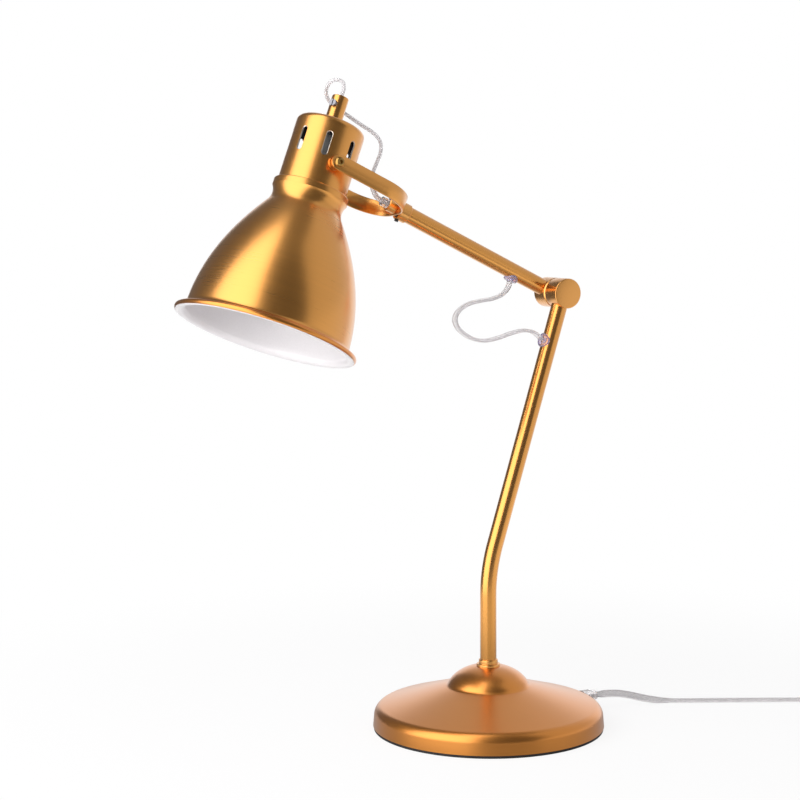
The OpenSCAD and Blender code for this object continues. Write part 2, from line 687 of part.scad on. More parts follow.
module drum(from, to) {
    b = drum_bevel;
    along_y() translate([0, 0, from])
        lathe([[0, 0], [drum_r - b, 0], [drum_r, b], [drum_r, to - from - b], [drum_r - b, to - from], [0, to - from]]);
}
module elbow_front() {
    color(brass) at_elbow() difference() {
        union() {
            drum(-drum_w / 2, seam_front);
            rotate([0, post_lean, 0]) translate([0, 0, -spigot_reach]) cylinder(r = bore_r - seat_gap, h = spigot_reach);
        }
        along_y() translate([0, 0, seam_front - pin_grip]) cylinder(d = pin_d + 2 * seat_gap, h = pin_grip + 1);
    }
}
module elbow_back() {
    color(brass) difference() {
        union() {
            at_elbow() drum(seam_back, drum_back_end);
            on_arm() along_minus_x() cylinder(r = bore_r - seat_gap, h = spigot_reach);
        }
        at_elbow() along_y() {
            cylinder(d = pin_d + 2 * turning_fit, h = 2 * drum_w);
            translate([0, 0, counterbore_floor]) cylinder(d = counterbore_d, h = drum_w);
        }
    }
}
module friction_washer() {
    color("#5b5148") at_elbow() along_y() translate([0, 0, seam_front])
        ring(drum_r - drum_bevel, pin_d / 2 + 2 * seat_gap, friction_t);
}
module elbow_spring_washer() {
    color(steel) at_elbow() along_y() translate([0, 0, counterbore_floor + turning_fit])
        ring(pin_head_d / 2 - 0.2, pin_d / 2 + 2 * seat_gap, spring_t);
}
module elbow_screw() {
    head = counterbore_floor + turning_fit + spring_t + seat_gap;
    tip = seam_front - pin_grip + 0.5;
    color(steel) at_elbow() along_y() difference() {
        union() {
            translate([0, 0, tip]) cylinder(d = pin_d, h = head - tip + 1);
            translate([0, 0, head]) cylinder(d = pin_head_d, h = pin_head_t);
        }
        translate([0, 0, head + pin_head_t - 2]) cylinder(d = 5, h = 3, $fn = 6);
    }
}

// ---- arm and swivel ----------------------------------------------------------------------

module arm_tube() {
    color(brass) difference() {
        on_arm() along_minus_x() difference() {
            cylinder(r = tube_r, h = tube_end);
            translate([0, 0, -1]) cylinder(r = bore_r, h = tube_end + 2);
        }
        at_elbow() drum_space();
        on_arm() translate([-arm_grommet_at, 0, 0]) rotate([180, 0, 0])
            cylinder(d = grommet_neck_d + 2 * seat_gap, h = tube_d);
    }
}
module arm_lead() {
    x = -arm_grommet_at;
    on_arm() flex_along(smooth([[x, 0, -4.5], [x - 1, 0, -2.4], [x - 3.5, 0, -0.5], [x - 8, 0, 0],
        [mixed(x, -bolt_end, 0.5), 0, 0], [-bolt_end + 0.5, 0, 0]], 2), [0, 1, 0]);
}
module swivel_ferrule() {
    color(brass) on_arm() translate([-ferrule_start, 0, 0]) along_minus_x() difference() {
        lathe([[bolt_d / 2 + turning_fit, 0], [ferrule_d / 2 - 0.5, 0], [ferrule_d / 2, 0.5],
            [ferrule_d / 2, ferrule_l - 0.5], [ferrule_d / 2 - 0.5, ferrule_l], [bolt_d / 2 + turning_fit, ferrule_l]]);
        translate([0, 0, -1]) cylinder(r = tube_r + seat_gap, h = tube_end - ferrule_start + 1 + seat_gap);
        translate([0, 0, set_screw_x - ferrule_start]) rotate([0, -90, 0])
            cylinder(d = set_screw_d + 2 * seat_gap, h = ferrule_d);
    }
}
module ferrule_screw() {
    tip = bolt_d / 2 - groove_depth + 0.1;
    color(black) on_arm() translate([-set_screw_x, 0, -tip]) rotate([180, 0, 0]) difference() {
        cylinder(d = set_screw_d, h = ferrule_d / 2 + set_screw_out - tip);
        translate([0, 0, ferrule_d / 2 + set_screw_out - tip - 1]) cylinder(d = 1.5, h = 2, $fn = 6);
    }
}
module swivel_bolt() {
    groove_w = set_screw_d + 0.3;
    shank = bolt_d / 2;
    color(brass) on_arm() translate([-bolt_end, 0, 0]) along_minus_x() difference() {
        lathe([[bolt_bore / 2, 0], [shank, 0], [shank, set_screw_x - bolt_end - groove_w / 2],
            [shank - groove_depth, set_screw_x - bolt_end - groove_w / 2],
            [shank - groove_depth, set_screw_x - bolt_end + groove_w / 2],
            [shank, set_screw_x - bolt_end + groove_w / 2], [shank, bolt_head_start - bolt_end + seat_gap],
            [bolt_head_d / 2 - 0.4, bolt_head_start - bolt_end + seat_gap],
            [bolt_head_d / 2, bolt_head_start - bolt_end + 0.4],
            [bolt_head_d / 2, bolt_head_start - bolt_end + bolt_head_l - 0.5],
            [bolt_head_d / 2 - 0.5, bolt_head_start - bolt_end + bolt_head_l],
            [bolt_bore / 2, bolt_head_start - bolt_end + bolt_head_l]]);
    }
}
module swivel_washer() {
    color(black) on_yoke() translate([strap_t / 2 + black_washer_t, 0, 0]) along_minus_x()
        ring(black_washer_d / 2, bolt_d / 2 + seat_gap, black_washer_t);
}
module flex_sleeve() {
    color(clear) on_arm() translate([-bolt_head_start - bolt_head_l, 0, 0]) along_minus_x() difference() {
        cylinder(d1 = sleeve_d, d2 = sleeve_d - 0.6, h = sleeve_l);
        translate([0, 0, -1]) rotate(90) flex_hole(sleeve_l + 2);
    }
}
function yoke_path(out) = let (r = yoke_bend_r, y = yoke_w / 2 - yoke_bend_r, x = -yoke_reach - strap_w) concat(
    [[x, -yoke_w / 2 - out]], arc([-r, -y], r + out, -90, 0, 16), arc([-r, y], r + out, 0, 90, 16),
    [[x, yoke_w / 2 + out]]);
module yoke_strap() {
    tip = arc([-yoke_reach, 0], strap_w / 2, 90, 270, 24);
    color(brass) on_yoke() difference() {
        intersection() {
            translate([0, 0, -strap_w / 2]) linear_extrude(strap_w)
                polygon(concat(yoke_path(strap_t / 2), flipped(yoke_path(-strap_t / 2))));
            rotate([90, 0, 0]) translate([0, 0, -yoke_w]) linear_extrude(2 * yoke_w)
                polygon(concat([[strap_t, strap_w / 2]], tip, [[strap_t, -strap_w / 2]]));
        }
        translate([-yoke_reach, -yoke_w, 0]) along_y() cylinder(d = pivot_d + 2 * turning_fit, h = 2 * yoke_w);
        translate([strap_w, 0, 0]) along_minus_x() cylinder(d = bolt_d + crossbar_play, h = 2 * strap_w);
    }
}

// ---- pivots ------------------------------------------------------------------------------

// Both sides of the head, Z outwards from its middle
module each_pivot() {
    on_head() for (side = [0, 180]) rotate(side) along_y() children();
}
spacer_foot_at = cup_r + spacer_foot_t;
module cup_space() {
    rotate([90, 0, 0]) translate([0, 0, -cup_d]) cylinder(r = cup_r + seat_gap, h = 2 * cup_d);
}
module pivot_spacers() {
    color(brass) each_pivot() difference() {
        union() {
            translate([0, 0, cup_r - 2]) cylinder(d = spacer_foot_d, h = spacer_foot_at - cup_r + 2);
            translate([0, 0, spacer_foot_at - 0.5]) cylinder(d = spacer_d, h = leg_in - turning_fit - spacer_foot_at + 0.5);
        }
        cup_space();
        cylinder(d = pivot_d + 2 * seat_gap, h = yoke_w);
    }
}
module pivot_screws() {
    tip = cup_r - cup_wall - pivot_nut_t - 1.5;
    head = leg_out + turning_fit;
    color("#d9b070") each_pivot() difference() {
        union() {
            translate([0, 0, tip]) cylinder(d = pivot_d, h = head - tip + 0.5);
            translate([0, 0, head]) lathe([[0, 0], [pivot_head_d / 2, 0], [pivot_head_d / 2, pivot_head_t * 0.35],
                [pivot_head_d * 0.4, pivot_head_t * 0.8], [pivot_head_d * 0.3, pivot_head_t], [0, pivot_head_t]]);
        }
        translate([0, 0, head + pivot_head_t - 1.4]) cylinder(d = 2.9, h = 2, $fn = 6);
    }
}
module pivot_nuts() {
    half = pivot_d * 0.95;
    face = sqrt(pow(cup_r - cup_wall, 2) - half * half) - seat_gap;
    color(steel) each_pivot() difference() {
        translate([0, 0, face - pivot_nut_t]) cylinder(r = half, h = pivot_nut_t, $fn = 6);
        cylinder(d = pivot_d + 2 * seat_gap, h = cup_r);
    }
}

// ---- cup and stem ------------------------------------------------------------------------

module slot_shape(l, w) {
    polygon(concat(arc([(l - w) / 2, 0], w / 2, -90, 90, 12), arc([(w - l) / 2, 0], w / 2, 90, 270, 12)));
}
module cup() {
    skin = concat([[cup_r, ledge + seat_gap]],
        arc([cup_r - cup_edge_r, cup_top - cup_edge_r], cup_edge_r, 0, 90, 12), [[nipple_r + seat_gap, cup_top]]);
    lining = concat([[cup_r - cup_wall, ledge + seat_gap]],
        arc([cup_r - cup_edge_r, cup_top - cup_edge_r], cup_edge_r - cup_wall, 0, 90, 12),
        [[nipple_r + seat_gap, cup_top - cup_wall]]);
    color(brass) on_head() difference() {
        lathe(concat(skin, flipped(lining)));
        for (i = [0 : slot_count - 1]) rotate(90 + (i + 0.5) * 360 / slot_count)
            translate([cup_r - 2 * cup_wall - 1, 0, slot_low + slot_l / 2]) rotate([0, 90, 0])
                linear_extrude(4 * cup_wall + 1) slot_shape(slot_l, slot_w);
        translate([0, -cup_d, 0]) along_y() cylinder(d = pivot_d + 2 * seat_gap, h = 2 * cup_d);
    }
}
module stem_tube() {
    color(brass) on_head() difference() {
        translate([0, 0, cup_top]) ring(tube_r, bore_r, stem_l);
        on_stem_screw() cylinder(d = stem_screw_d - 1 + 2 * seat_gap, h = tube_d);
    }
}
// Z outwards along the stem's screw
module on_stem_screw() {
    translate([0, 0, cup_top + stem_screw_at]) rotate([0, 0, -90 - stem_screw_turn]) rotate([0, 90, 0]) children();
}
module stem_screw() {
    color(steel) on_head() on_stem_screw() difference() {
        union() {
            translate([0, 0, nipple_r + 0.1]) cylinder(d = stem_screw_d - 1, h = tube_r - nipple_r + 0.9);
            difference() {
                translate([0, 0, tube_r - 2]) cylinder(d = stem_screw_d, h = stem_screw_out + 2);
                rotate([0, 90, 0]) translate([0, 0, -tube_d]) cylinder(r = tube_r + seat_gap, h = 2 * tube_d);
            }
        }
        translate([-stem_screw_d, -0.4, tube_r + stem_screw_out - 1]) cube([2 * stem_screw_d, 0.8, 2]);
    }
}
holder_top = cup_top - cup_wall - nut_t - 4;
module stem_nipple() {
    low = holder_top - holder_wall - 2;
    high = cup_top + stem_screw_at - stem_screw_d / 2 - 0.5;
    color(steel) on_head() translate([0, 0, low]) ring(nipple_r - seat_gap, nipple_bore_r, high - low);
}
module stem_nut() {
    color(steel) on_head() translate([0, 0, cup_top - cup_wall - nut_t - seat_gap]) nipple_nut();
}

// ---- shade -------------------------------------------------------------------------------

neck_r = neck_d / 2;
waist = [waist_d / 2 + waist_r, ledge - waist_drop];
waist_up = asin((waist_drop - neck_drop) / waist_r);
flare_top = lip_t + flare_r - shade_depth;
bell_top = waist + waist_r * [-cos(waist_turn), -sin(waist_turn)];
bell_bottom = [bell_d / 2, flare_top];
// The outside, from the neck ring's edge down to the end of the bell
bell_outside = concat(arc(waist, waist_r, 180 - waist_up, 180 + waist_turn, 12),
    [for (i = [1 : 24]) bezier(bell_top, bell_top + shoulder_pull * [sin(waist_turn), -cos(waist_turn)],
        bell_bottom + mouth_pull * [-sin(mouth_lean), cos(mouth_lean)], bell_bottom, 24)[i]]);
shelf_under = asin((waist_drop - shelf_t) / (waist_r + shade_wall));
bell_inside = concat(arc(waist, waist_r + shade_wall, 180 - shelf_under, 180 + waist_turn, 12),
    [for (i = [13 : len(bell_outside) - 1]) beside(bell_outside, -shade_wall)[i]]);
lip_r = lip_d / 2;
module shade() {
    ring_top = ledge + neck_h;
    ring_bore = cup_r + seat_gap + 0.1;
    under_r = flare_r + shade_wall;
    mouth = bell_inside[len(bell_inside) - 1];
    color(brass) on_head() lathe(concat(
        [[holder_d / 2 + seat_gap, ledge], [ring_bore, ledge], [ring_bore, ring_top]],
        rounded([ring_bore, ring_top], [neck_r, ring_top], [neck_r, ledge], 0.8, 5),
        [[neck_r, ledge - neck_drop]],
        bell_outside,
        arc(bell_bottom + [flare_r, 0], flare_r, 190, 270, 8),
        arc([lip_r - lip_t / 2, lip_t / 2 - shade_depth], lip_t / 2, 90, -90, 8),
        arc([mouth.x + under_r, under_r - shade_depth], under_r, 270, 190, 8),
        flipped(bell_inside),
        [[holder_d / 2 + seat_gap, ledge - shelf_t]]));
}

// ---- lampholder and bulb -----------------------------------------------------------------

module shade_clamp() {
    color(white) on_head() translate([0, 0, ledge - shelf_t - clamp_h]) difference() {
        lathe([[holder_d / 2 + seat_gap, 0], [clamp_d / 2 - 2, 0], [clamp_d / 2, 1.5],
            [clamp_d / 2, clamp_h - seat_gap], [holder_d / 2 + seat_gap, clamp_h - seat_gap]]);
    }
}
module holder_body() {
    r = holder_d / 2;
    color(white) on_head() lathe(concat(
        [[r - holder_wall, -holder_mouth], [r, -holder_mouth]],
        rounded([r, -holder_mouth], [r, holder_top], [nipple_r, holder_top], 5, 8),
        [[nipple_r + seat_gap, holder_top], [nipple_r + seat_gap, holder_top - holder_wall]],
        rounded([nipple_r, holder_top - holder_wall], [r - holder_wall, holder_top - holder_wall],
            [r - holder_wall, -holder_mouth], 3.5, 8)));
}
insert_top = 16;
insert_bottom = 5;
module holder_insert() {
    color(white) on_head() translate([0, 0, insert_bottom])
        ring(holder_d / 2 - holder_wall - seat_gap, 2.5, insert_top - insert_bottom);
}
screw_shell_r = cap_d / 2 + 0.15;
module holder_contacts() {
    color("#c8a050") on_head() {
        translate([0, 0, -20]) ring(screw_shell_r + 0.5, screw_shell_r, 20 + insert_bottom);
        translate([0, 0, 1.6]) cylinder(d = 4, h = insert_bottom - 1.6 + 0.5);
    }
}
module bulb_cap() {
    color(steel) on_head() lathe([[0, -holder_mouth + 2], [cap_d / 2, -holder_mouth + 2], [cap_d / 2, -2.5],
        [4.5, -0.5], [2, 1.5], [0, 1.5]]);
}
ball_z = -holder_mouth - bulb_l + bulb_d / 2;
glass_outside = concat([[cap_d / 2 - 0.4, 1.9 - holder_mouth], [cap_d / 2 + 1.6, -5 - holder_mouth]],
    arc([0, ball_z], bulb_d / 2, 55, -88, 24));
module bulb_glass() {
    color("#f7f3e8") on_head() lathe(concat(glass_outside, [[0, ball_z - bulb_d / 2]],
        [[0, ball_z - bulb_d / 2 + glass_t]], flipped(beside(glass_outside, -glass_t))));
}

// ---- flexes ------------------------------------------------------------------------------

module elbow_cord() {
    flex_along(smooth(elbow_route, 2), [0, 1, 0]);
}
module head_cord() {
    line = smooth(head_route, 2);
    // Level in the bolt, then square to the loop's plane
    wides = [for (i = [0 : len(line) - 1]) mixed([0, 1, 0], [0.456, 0.89, 0], min(max((i - 7) / 6, 0), 1))];
    flex(flex_rings(line, wides, 8));
}
module mains_cord() {
    flex(flex_rings(mains_line, mains_wides, 8, [1, 0, 0], way_in));
}
module mains_coil() {
    flex(coil_rings);
}
module mains_tail() {
    flex(flex_rings(tail_line, tail_wides, 8, way_out, way_out));
}

// ---- plug --------------------------------------------------------------------------------

// X along the plug towards its pins, the body's rear end at the origin
module on_plug() {
    translate(plug_at) rotate(stop_heading) children();
}
module plug_body() {
    half = plug_w / 2;
    rear = 7;
    side = [[0, rear], [plug_l - 9, half], [plug_l, half - 3]];
    plan = concat([[0, rear]], rounded(side[0], side[1], side[2], 4, 5), rounded(side[1], side[2], [plug_l, 0], 2, 4));
    mirrored_plan = [for (p = flipped(plan)) [p.x, -p.y]];
    color(black) on_plug() difference() {
        union() {
            translate([0, 0, -plug_t / 2]) linear_extrude(plug_t) polygon(concat(plan, mirrored_plan));
            translate([-plug_neck_l, 0, 0]) rotate([0, 90, 0]) cylinder(d1 = 8, d2 = 11, h = plug_neck_l + 3);
        }
        for (side = [-1, 1]) translate([plug_l - 8, side * plug_pin_gap / 2, 0]) rotate([0, 90, 0])
            cylinder(d = plug_pin_d + 2 * seat_gap, h = 10);
    }
}
module plug_pins() {
    color(steel) on_plug() for (side = [-1, 1]) translate([plug_l - 8, side * plug_pin_gap / 2, 0]) rotate([0, 90, 0]) {
        cylinder(d = plug_pin_d, h = 7 + plug_pin_l);
        translate([0, 0, 7 + plug_pin_l]) cylinder(d1 = plug_pin_d, d2 = plug_pin_d - 1.5, h = 1);
    }
}

base_pad();
base_shell();
base_weight();
weight_washer();
weight_nut();
post_nut();
post_collar();
post_nipple();
post_tube();
post_grommet();
post_lead();
elbow_front();
friction_washer();
elbow_screw();
elbow_spring_washer();
cord_gland();
mains_cord();
mains_coil();
mains_tail();
plug_body();
plug_pins();
elbow_cord();
elbow_back();
arm_tube();
arm_grommet();
arm_lead();
swivel_ferrule();
ferrule_screw();
yoke_strap();
swivel_bolt();
swivel_washer();
flex_sleeve();
head_cord();
cup();
stem_tube();
stem_screw();
stem_nipple();
stem_nut();
pivot_spacers();
pivot_screws();
pivot_nuts();
shade();
shade_clamp();
holder_body();
holder_insert();
holder_contacts();
bulb_cap();
bulb_glass();
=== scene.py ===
"""A brushed-brass desk lamp with a slotted cup, a bell shade, a yoke, a jointed arm and post, and clear flex.

Sizes are in millimetres and repeat those of the solids. Pieces are built in metres, in the solids' own frame.
"""
import json
import math

import bmesh
import bpy
import numpy as np
from mathutils import Matrix, Vector


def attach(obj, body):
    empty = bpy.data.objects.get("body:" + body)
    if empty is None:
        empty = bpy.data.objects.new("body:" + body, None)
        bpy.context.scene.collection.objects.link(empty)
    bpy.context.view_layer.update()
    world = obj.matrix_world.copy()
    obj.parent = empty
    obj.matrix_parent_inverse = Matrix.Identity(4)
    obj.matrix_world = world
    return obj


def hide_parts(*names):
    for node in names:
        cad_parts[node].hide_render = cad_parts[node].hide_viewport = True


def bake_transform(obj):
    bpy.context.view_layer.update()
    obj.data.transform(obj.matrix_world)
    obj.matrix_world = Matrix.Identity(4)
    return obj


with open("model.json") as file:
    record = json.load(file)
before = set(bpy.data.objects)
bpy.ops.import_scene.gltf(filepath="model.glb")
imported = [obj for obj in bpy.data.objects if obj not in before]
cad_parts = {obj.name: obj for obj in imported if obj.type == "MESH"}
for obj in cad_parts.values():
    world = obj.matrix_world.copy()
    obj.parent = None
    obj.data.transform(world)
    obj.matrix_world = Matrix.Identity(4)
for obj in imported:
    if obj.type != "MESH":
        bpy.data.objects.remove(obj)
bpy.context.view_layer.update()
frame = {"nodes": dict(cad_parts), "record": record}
MM = 0.001

# ---- sizes of the lamp, in millimetres and degrees ------------------------------------------

TUBE_R = 6.0
TUBE_WALL = 1.0
TUBE_SINK = 1.5
POST_STRAIGHT_H = 98.0
POST_BEND_R = 125.0
POST_LEAN = 17.5
ELBOW_H = 318.0
DRUM_R = 11.0
DRUM_W = 15.5
DRUM_EDGE = 0.8
DRUM_SEAM = 0.25
ARM_Y = 15.5
ARM_LEN = 144.0
ARM_RISE = 26.0
FERRULE_END = 142.2
FERRULE_L = 8.0
FERRULE_R = 7.0
FERRULE_BORE_R = 4.05
FERRULE_EDGE = 0.5

BASE_R = 85.0
BASE_WALL = 1.5
PAD_T = 2.0
RIM_H = 15.8
SIDE_LEAN = 5.0
SHOULDER_R = 8.0
TOP_SLOPE = 16.5
HUMP_R = 31.0
HUMP_H = 27.0
HUMP_RISE = 20.0
HUMP_FOOT_R = 4.0
CROWN_R = 10.0
POST_HOLE_R = 5.2
COLLAR_BORE_R = 6.05
COLLAR_R = 8.75
COLLAR_FOOT_H = 1.8
COLLAR_NECK_R = 7.02
COLLAR_H = 5.0

YOKE_TURN = 6.0
YOKE_REACH = 67.0
YOKE_HALF_W = 30.5
YOKE_BEND_R = 26.0
STRAP_W = 11.0
STRAP_T = 1.5
STRAP_EDGE = 0.3

HEAD_TILT = 3.4
CUP_R = 24.5
CUP_WALL = 1.0
CUP_TOP = 31.5
CUP_EDGE_R = 4.0
STEM_L = 21.0
SLOT_COUNT = 8
SLOT_R = 2.0
SLOT_STRAIGHT_L = 13.0
SLOT_MID_H = 11.5
SLOT_CHAMFER = 0.45

LEDGE = -20.0
NECK_R = 27.0
NECK_H = 3.0
NECK_DROP = 1.5
NECK_BORE_R = CUP_R + 0.12
SHELF_T = 1.2
SHELF_HOLE_R = 14.02
SHADE_WALL = 1.0
SHADE_DEPTH = 126.0
WAIST_R = 11.0
WAIST_DROP = 7.5
WAIST_AT = (36.2, LEDGE - WAIST_DROP)
WAIST_TURN = 35.0
WAIST_STEPS = 18
BELL_MOUTH_R = 58.1
BELL_LEAN = 1.7
BELL_PULL_TOP = 27.6
BELL_PULL_MOUTH = 33.8
FLARE_R = 4.0
LIP_R = 65.0
LIP_T = 4.0
LIP_POINTS = 19

FLEX_W = 5.6
FLEX_T = 2.8
CORE_R = 0.55

BEND_END_X = POST_BEND_R * (1 - math.cos(math.radians(POST_LEAN)))
BEND_END_H = POST_STRAIGHT_H + POST_BEND_R * math.sin(math.radians(POST_LEAN))
ELBOW = Vector((BEND_END_X + (ELBOW_H - BEND_END_H) * math.tan(math.radians(POST_LEAN)), 0, ELBOW_H))


def turned(degrees, axis):
    return Matrix.Rotation(math.radians(degrees), 4, axis)


# Places: each takes a point of the piece's own layout to the lamp's frame, in millimetres.
AT_ELBOW = Matrix.Translation(ELBOW)
ON_POST = AT_ELBOW @ turned(POST_LEAN, "Y")
ON_ARM = Matrix.Translation((0, ARM_Y, 0)) @ AT_ELBOW @ turned(ARM_RISE, "Y")
ON_YOKE = ON_ARM @ Matrix.Translation((-ARM_LEN, 0, 0)) @ turned(-YOKE_TURN, "X")
ON_HEAD = ON_YOKE @ Matrix.Translation((-YOKE_REACH, 0, 0)) @ turned(-HEAD_TILT, "Y")
ALONG_Y = turned(-90, "X")
ALONG_MINUS_X = turned(-90, "Y")


# ---- outlines ------------------------------------------------------------------------------

def ramp(x, start, stop):
    """0 up to the start, 1 from the stop on, and even between them."""
    return min(max((x - start) / (stop - start), 0), 1)


def arc(middle, radius, start, stop, steps=10):
    """Points of an arc in the (radius, height) plane, angles in degrees."""
    angles = [math.radians(start + (stop - start) * i / steps) for i in range(steps + 1)]
    return [(middle[0] + radius * math.cos(a), middle[1] + radius * math.sin(a)) for a in angles]


def rounded(a, b, c, radius, steps=8):
    """The corner a-b-c rounded off."""
    a, b, c = Vector(a), Vector(b), Vector(c)
    u = (a - b).normalized()
    v = (c - b).normalized()
    half = u.angle(v) / 2
    middle = b + (u + v).normalized() * radius / math.sin(half)
    first = b + u * radius / math.tan(half) - middle
    last = b + v * radius / math.tan(half) - middle
    start = math.degrees(math.atan2(first.y, first.x))
    turn = (math.degrees(math.atan2(last.y, last.x)) - start + 540) % 360 - 180
    return arc(middle, radius, start, start + turn, steps)


def bezier(a, b, c, d, steps):
    a, b, c, d = (Vector(p) for p in (a, b, c, d))
    points = []
    for i in range(steps + 1):
        t = i / steps
        u = 1 - t
        points.append(tuple(u ** 3 * a + 3 * u * u * t * b + 3 * u * t * t * c + t ** 3 * d))
    return points


def beside(line, distance):
    """An open outline moved to its left."""
    moved = []
    for i, point in enumerate(line):
        way = (Vector(line[min(i + 1, len(line) - 1)]) - Vector(line[max(i - 1, 0)])).normalized()
        moved.append((point[0] - distance * way.y, point[1] + distance * way.x))
    return moved


# ---- meshes --------------------------------------------------------------------------------

def add_mesh(name, vertices, faces, place=Matrix(), sharp=35.0):
    """A mesh object whose place is in its vertices, smooth but for its sharp edges."""
    mesh = bpy.data.meshes.new(name)
    mesh.from_pydata([place @ Vector(v) * MM for v in vertices], [], faces)
    work = bmesh.new()
    work.from_mesh(mesh)
    bmesh.ops.remove_doubles(work, verts=work.verts, dist=1e-6)
    bmesh.ops.recalc_face_normals(work, faces=work.faces)
    work.to_mesh(mesh)
    work.free()
    return add_object(name, mesh, sharp)


def add_object(name, mesh, sharp=35.0):
    mesh.shade_smooth()
    mesh.set_sharp_from_angle(angle=math.radians(sharp))
    piece = bpy.data.objects.new(name, mesh)
    bpy.context.scene.collection.objects.link(piece)
    return piece


def skin_faces(rings, sides, first=0):
    """Faces that join rings of points one after another and close both ends."""
    faces = []
    for i in range(rings - 1):
        here = first + i * sides
        there = here + sides
        for j in range(sides):
            k = (j + 1) % sides
            faces.append((here + j, here + k, there + k, there + j))
    last = first + (rings - 1) * sides
    faces.append(tuple(range(first + sides - 1, first - 1, -1)))
    faces.append(tuple(range(last, last + sides)))
    return faces


def lathe(name, outline, place=Matrix(), segments=96, sharp=35.0):
    """A closed outline, or one that starts and ends on the axis, spun about its own Z."""
    vertices, faces = [], []
    count = len(outline)
    for k in range(segments):
        a = 2 * math.pi * k / segments
        vertices += [(r * math.cos(a), r * math.sin(a), z) for r, z in outline]
    for k in range(segments):
        here = k * count
        there = (k + 1) % segments * count
        for i in range(count):
            j = (i + 1) % count
            if max(outline[i][0], outline[j][0]) > 1e-6:
                faces.append((here + i, there + i, there + j, here + j))
    return add_mesh(name, vertices, faces, place, sharp)


def heading(line, i):
    return (line[min(i + 1, len(line) - 1)] - line[max(i - 1, 0)]).normalized()


def tube_along(name, line, radius, sides=48):
    """A round rod along a line in one plane, its ends closed."""
    vertices = []
    across = Vector((0, 1, 0))
    for i, middle in enumerate(line):
        up = heading(line, i).cross(across).normalized()
        angles = [2 * math.pi * k / sides for k in range(sides)]
        vertices += [middle + radius * (math.cos(a) * across + math.sin(a) * up) for a in angles]
    return add_mesh(name, vertices, skin_faces(len(line), sides))


def smooth_copy(node, sharp=30.0):
    """A finished copy of a CAD node, with its loose triangles joined and its round faces smooth."""
    mesh = frame["nodes"][node].data.copy()
    mesh.name = node + "_finish"
    mesh.materials.clear()
    work = bmesh.new()
    work.from_mesh(mesh)
    bmesh.ops.remove_doubles(work, verts=work.verts, dist=2e-6)
    work.to_mesh(mesh)
    work.free()
    normals = mesh.attributes.get("custom_normal")
    if normals:
        mesh.attributes.remove(normals)
    return add_object(node + "_finish", mesh, sharp)


def settle(piece):
    """Turns a piece's modifiers into plain mesh."""
    graph = bpy.context.evaluated_depsgraph_get()
    mesh = bpy.data.meshes.new_from_object(piece.evaluated_get(graph))
    piece.modifiers.clear()
    piece.data = mesh


# ---- nodes and finishes --------------------------------------------------------------------

class Value:
    """A socket's value: arithmetic on it adds Math nodes."""

    def __init__(self, nodes, socket):
        self.nodes = nodes
        self.socket = socket

    def math(self, operation, *others):
        return self.nodes.node("ShaderNodeMath", {"operation": operation}, [self, *others])

    def __add__(self, other):
        return self.math("ADD", other)

    def __sub__(self, other):
        return self.math("SUBTRACT", other)

    def __rsub__(self, other):
        return self.nodes.node("ShaderNodeMath", {"operation": "SUBTRACT"}, [other, self])

    def __mul__(self, other):
        return self.math("MULTIPLY", other)

    __radd__ = __add__
    __rmul__ = __mul__


class Nodes:
    """A node tree and the one method that adds its nodes."""

    def __init__(self, tree):
        self.tree = tree

    def connect(self, socket, value):
        if isinstance(value, Value):
            self.tree.links.new(value.socket, socket)
        else:
            socket.default_value = value

    def node(self, kind, settings=None, values=(), out=0):
        """Adds a node with its settings and its sockets' values, by number or by name; gives one output."""
        node = self.tree.nodes.new(kind)
        for key, value in (settings or {}).items():
            setattr(node, key, value)
        pairs = values.items() if isinstance(values, dict) else enumerate(values)
        for key, value in pairs:
            self.connect(node.inputs[key], value)
        return Value(self, node.outputs[out]) if node.outputs else None

    def seen_by(self, *rays):
        """1 for the named kinds of ray, 0 for any other."""
        seen = self.node("ShaderNodeLightPath", out=rays[0])
        for ray in rays[1:]:
            seen = seen.math("MAXIMUM", self.node("ShaderNodeLightPath", out=ray))
        return seen


class Finish(Nodes):
    """A material, its main shader and the patterns that feed it."""

    def __init__(self, name, **surface):
        self.material = bpy.data.materials.new(name)
        self.material.use_nodes = True
        super().__init__(self.material.node_tree)
        self.surface = self.tree.nodes["Principled BSDF"]
        for socket, value in surface.items():
            self.set(socket.replace("_", " "), value)

    def set(self, socket, value):
        self.connect(self.surface.inputs[socket], value)

    def place(self, matrix=Matrix(), scale=(1, 1, 1)):
        """Object coordinates, seen from a piece's own place and stretched."""
        shift, turn, _ = matrix.inverted().decompose()
        moved = self.node("ShaderNodeMapping", {}, {
            "Vector": self.node("ShaderNodeTexCoord", out="Object"), "Location": shift * MM,
            "Rotation": turn.to_euler("XYZ")})
        return self.node("ShaderNodeMapping", {}, {"Vector": moved, "Scale": scale})

    def noise(self, vector, scale, detail=3.0, roughness=0.5):
        return self.node("ShaderNodeTexNoise", {}, {
            "Vector": vector, "Scale": scale, "Detail": detail, "Roughness": roughness})

    def mix(self, factor, a, b):
        return self.node("ShaderNodeMix", {"data_type": "RGBA"}, {0: factor, 6: a, 7: b}, out=2)

    def fade(self, value, start, stop, low, high):
        """A soft step between two values as another one rises."""
        return self.node("ShaderNodeMapRange", {"interpolation_type": "SMOOTHSTEP"}, {
            "Value": value, "From Min": start, "From Max": stop, "To Min": low, "To Max": high})

    def bump(self, height, strength, distance):
        self.set("Normal", self.node("ShaderNodeBump", {}, {
            "Height": height, "Strength": strength, "Distance": distance}))


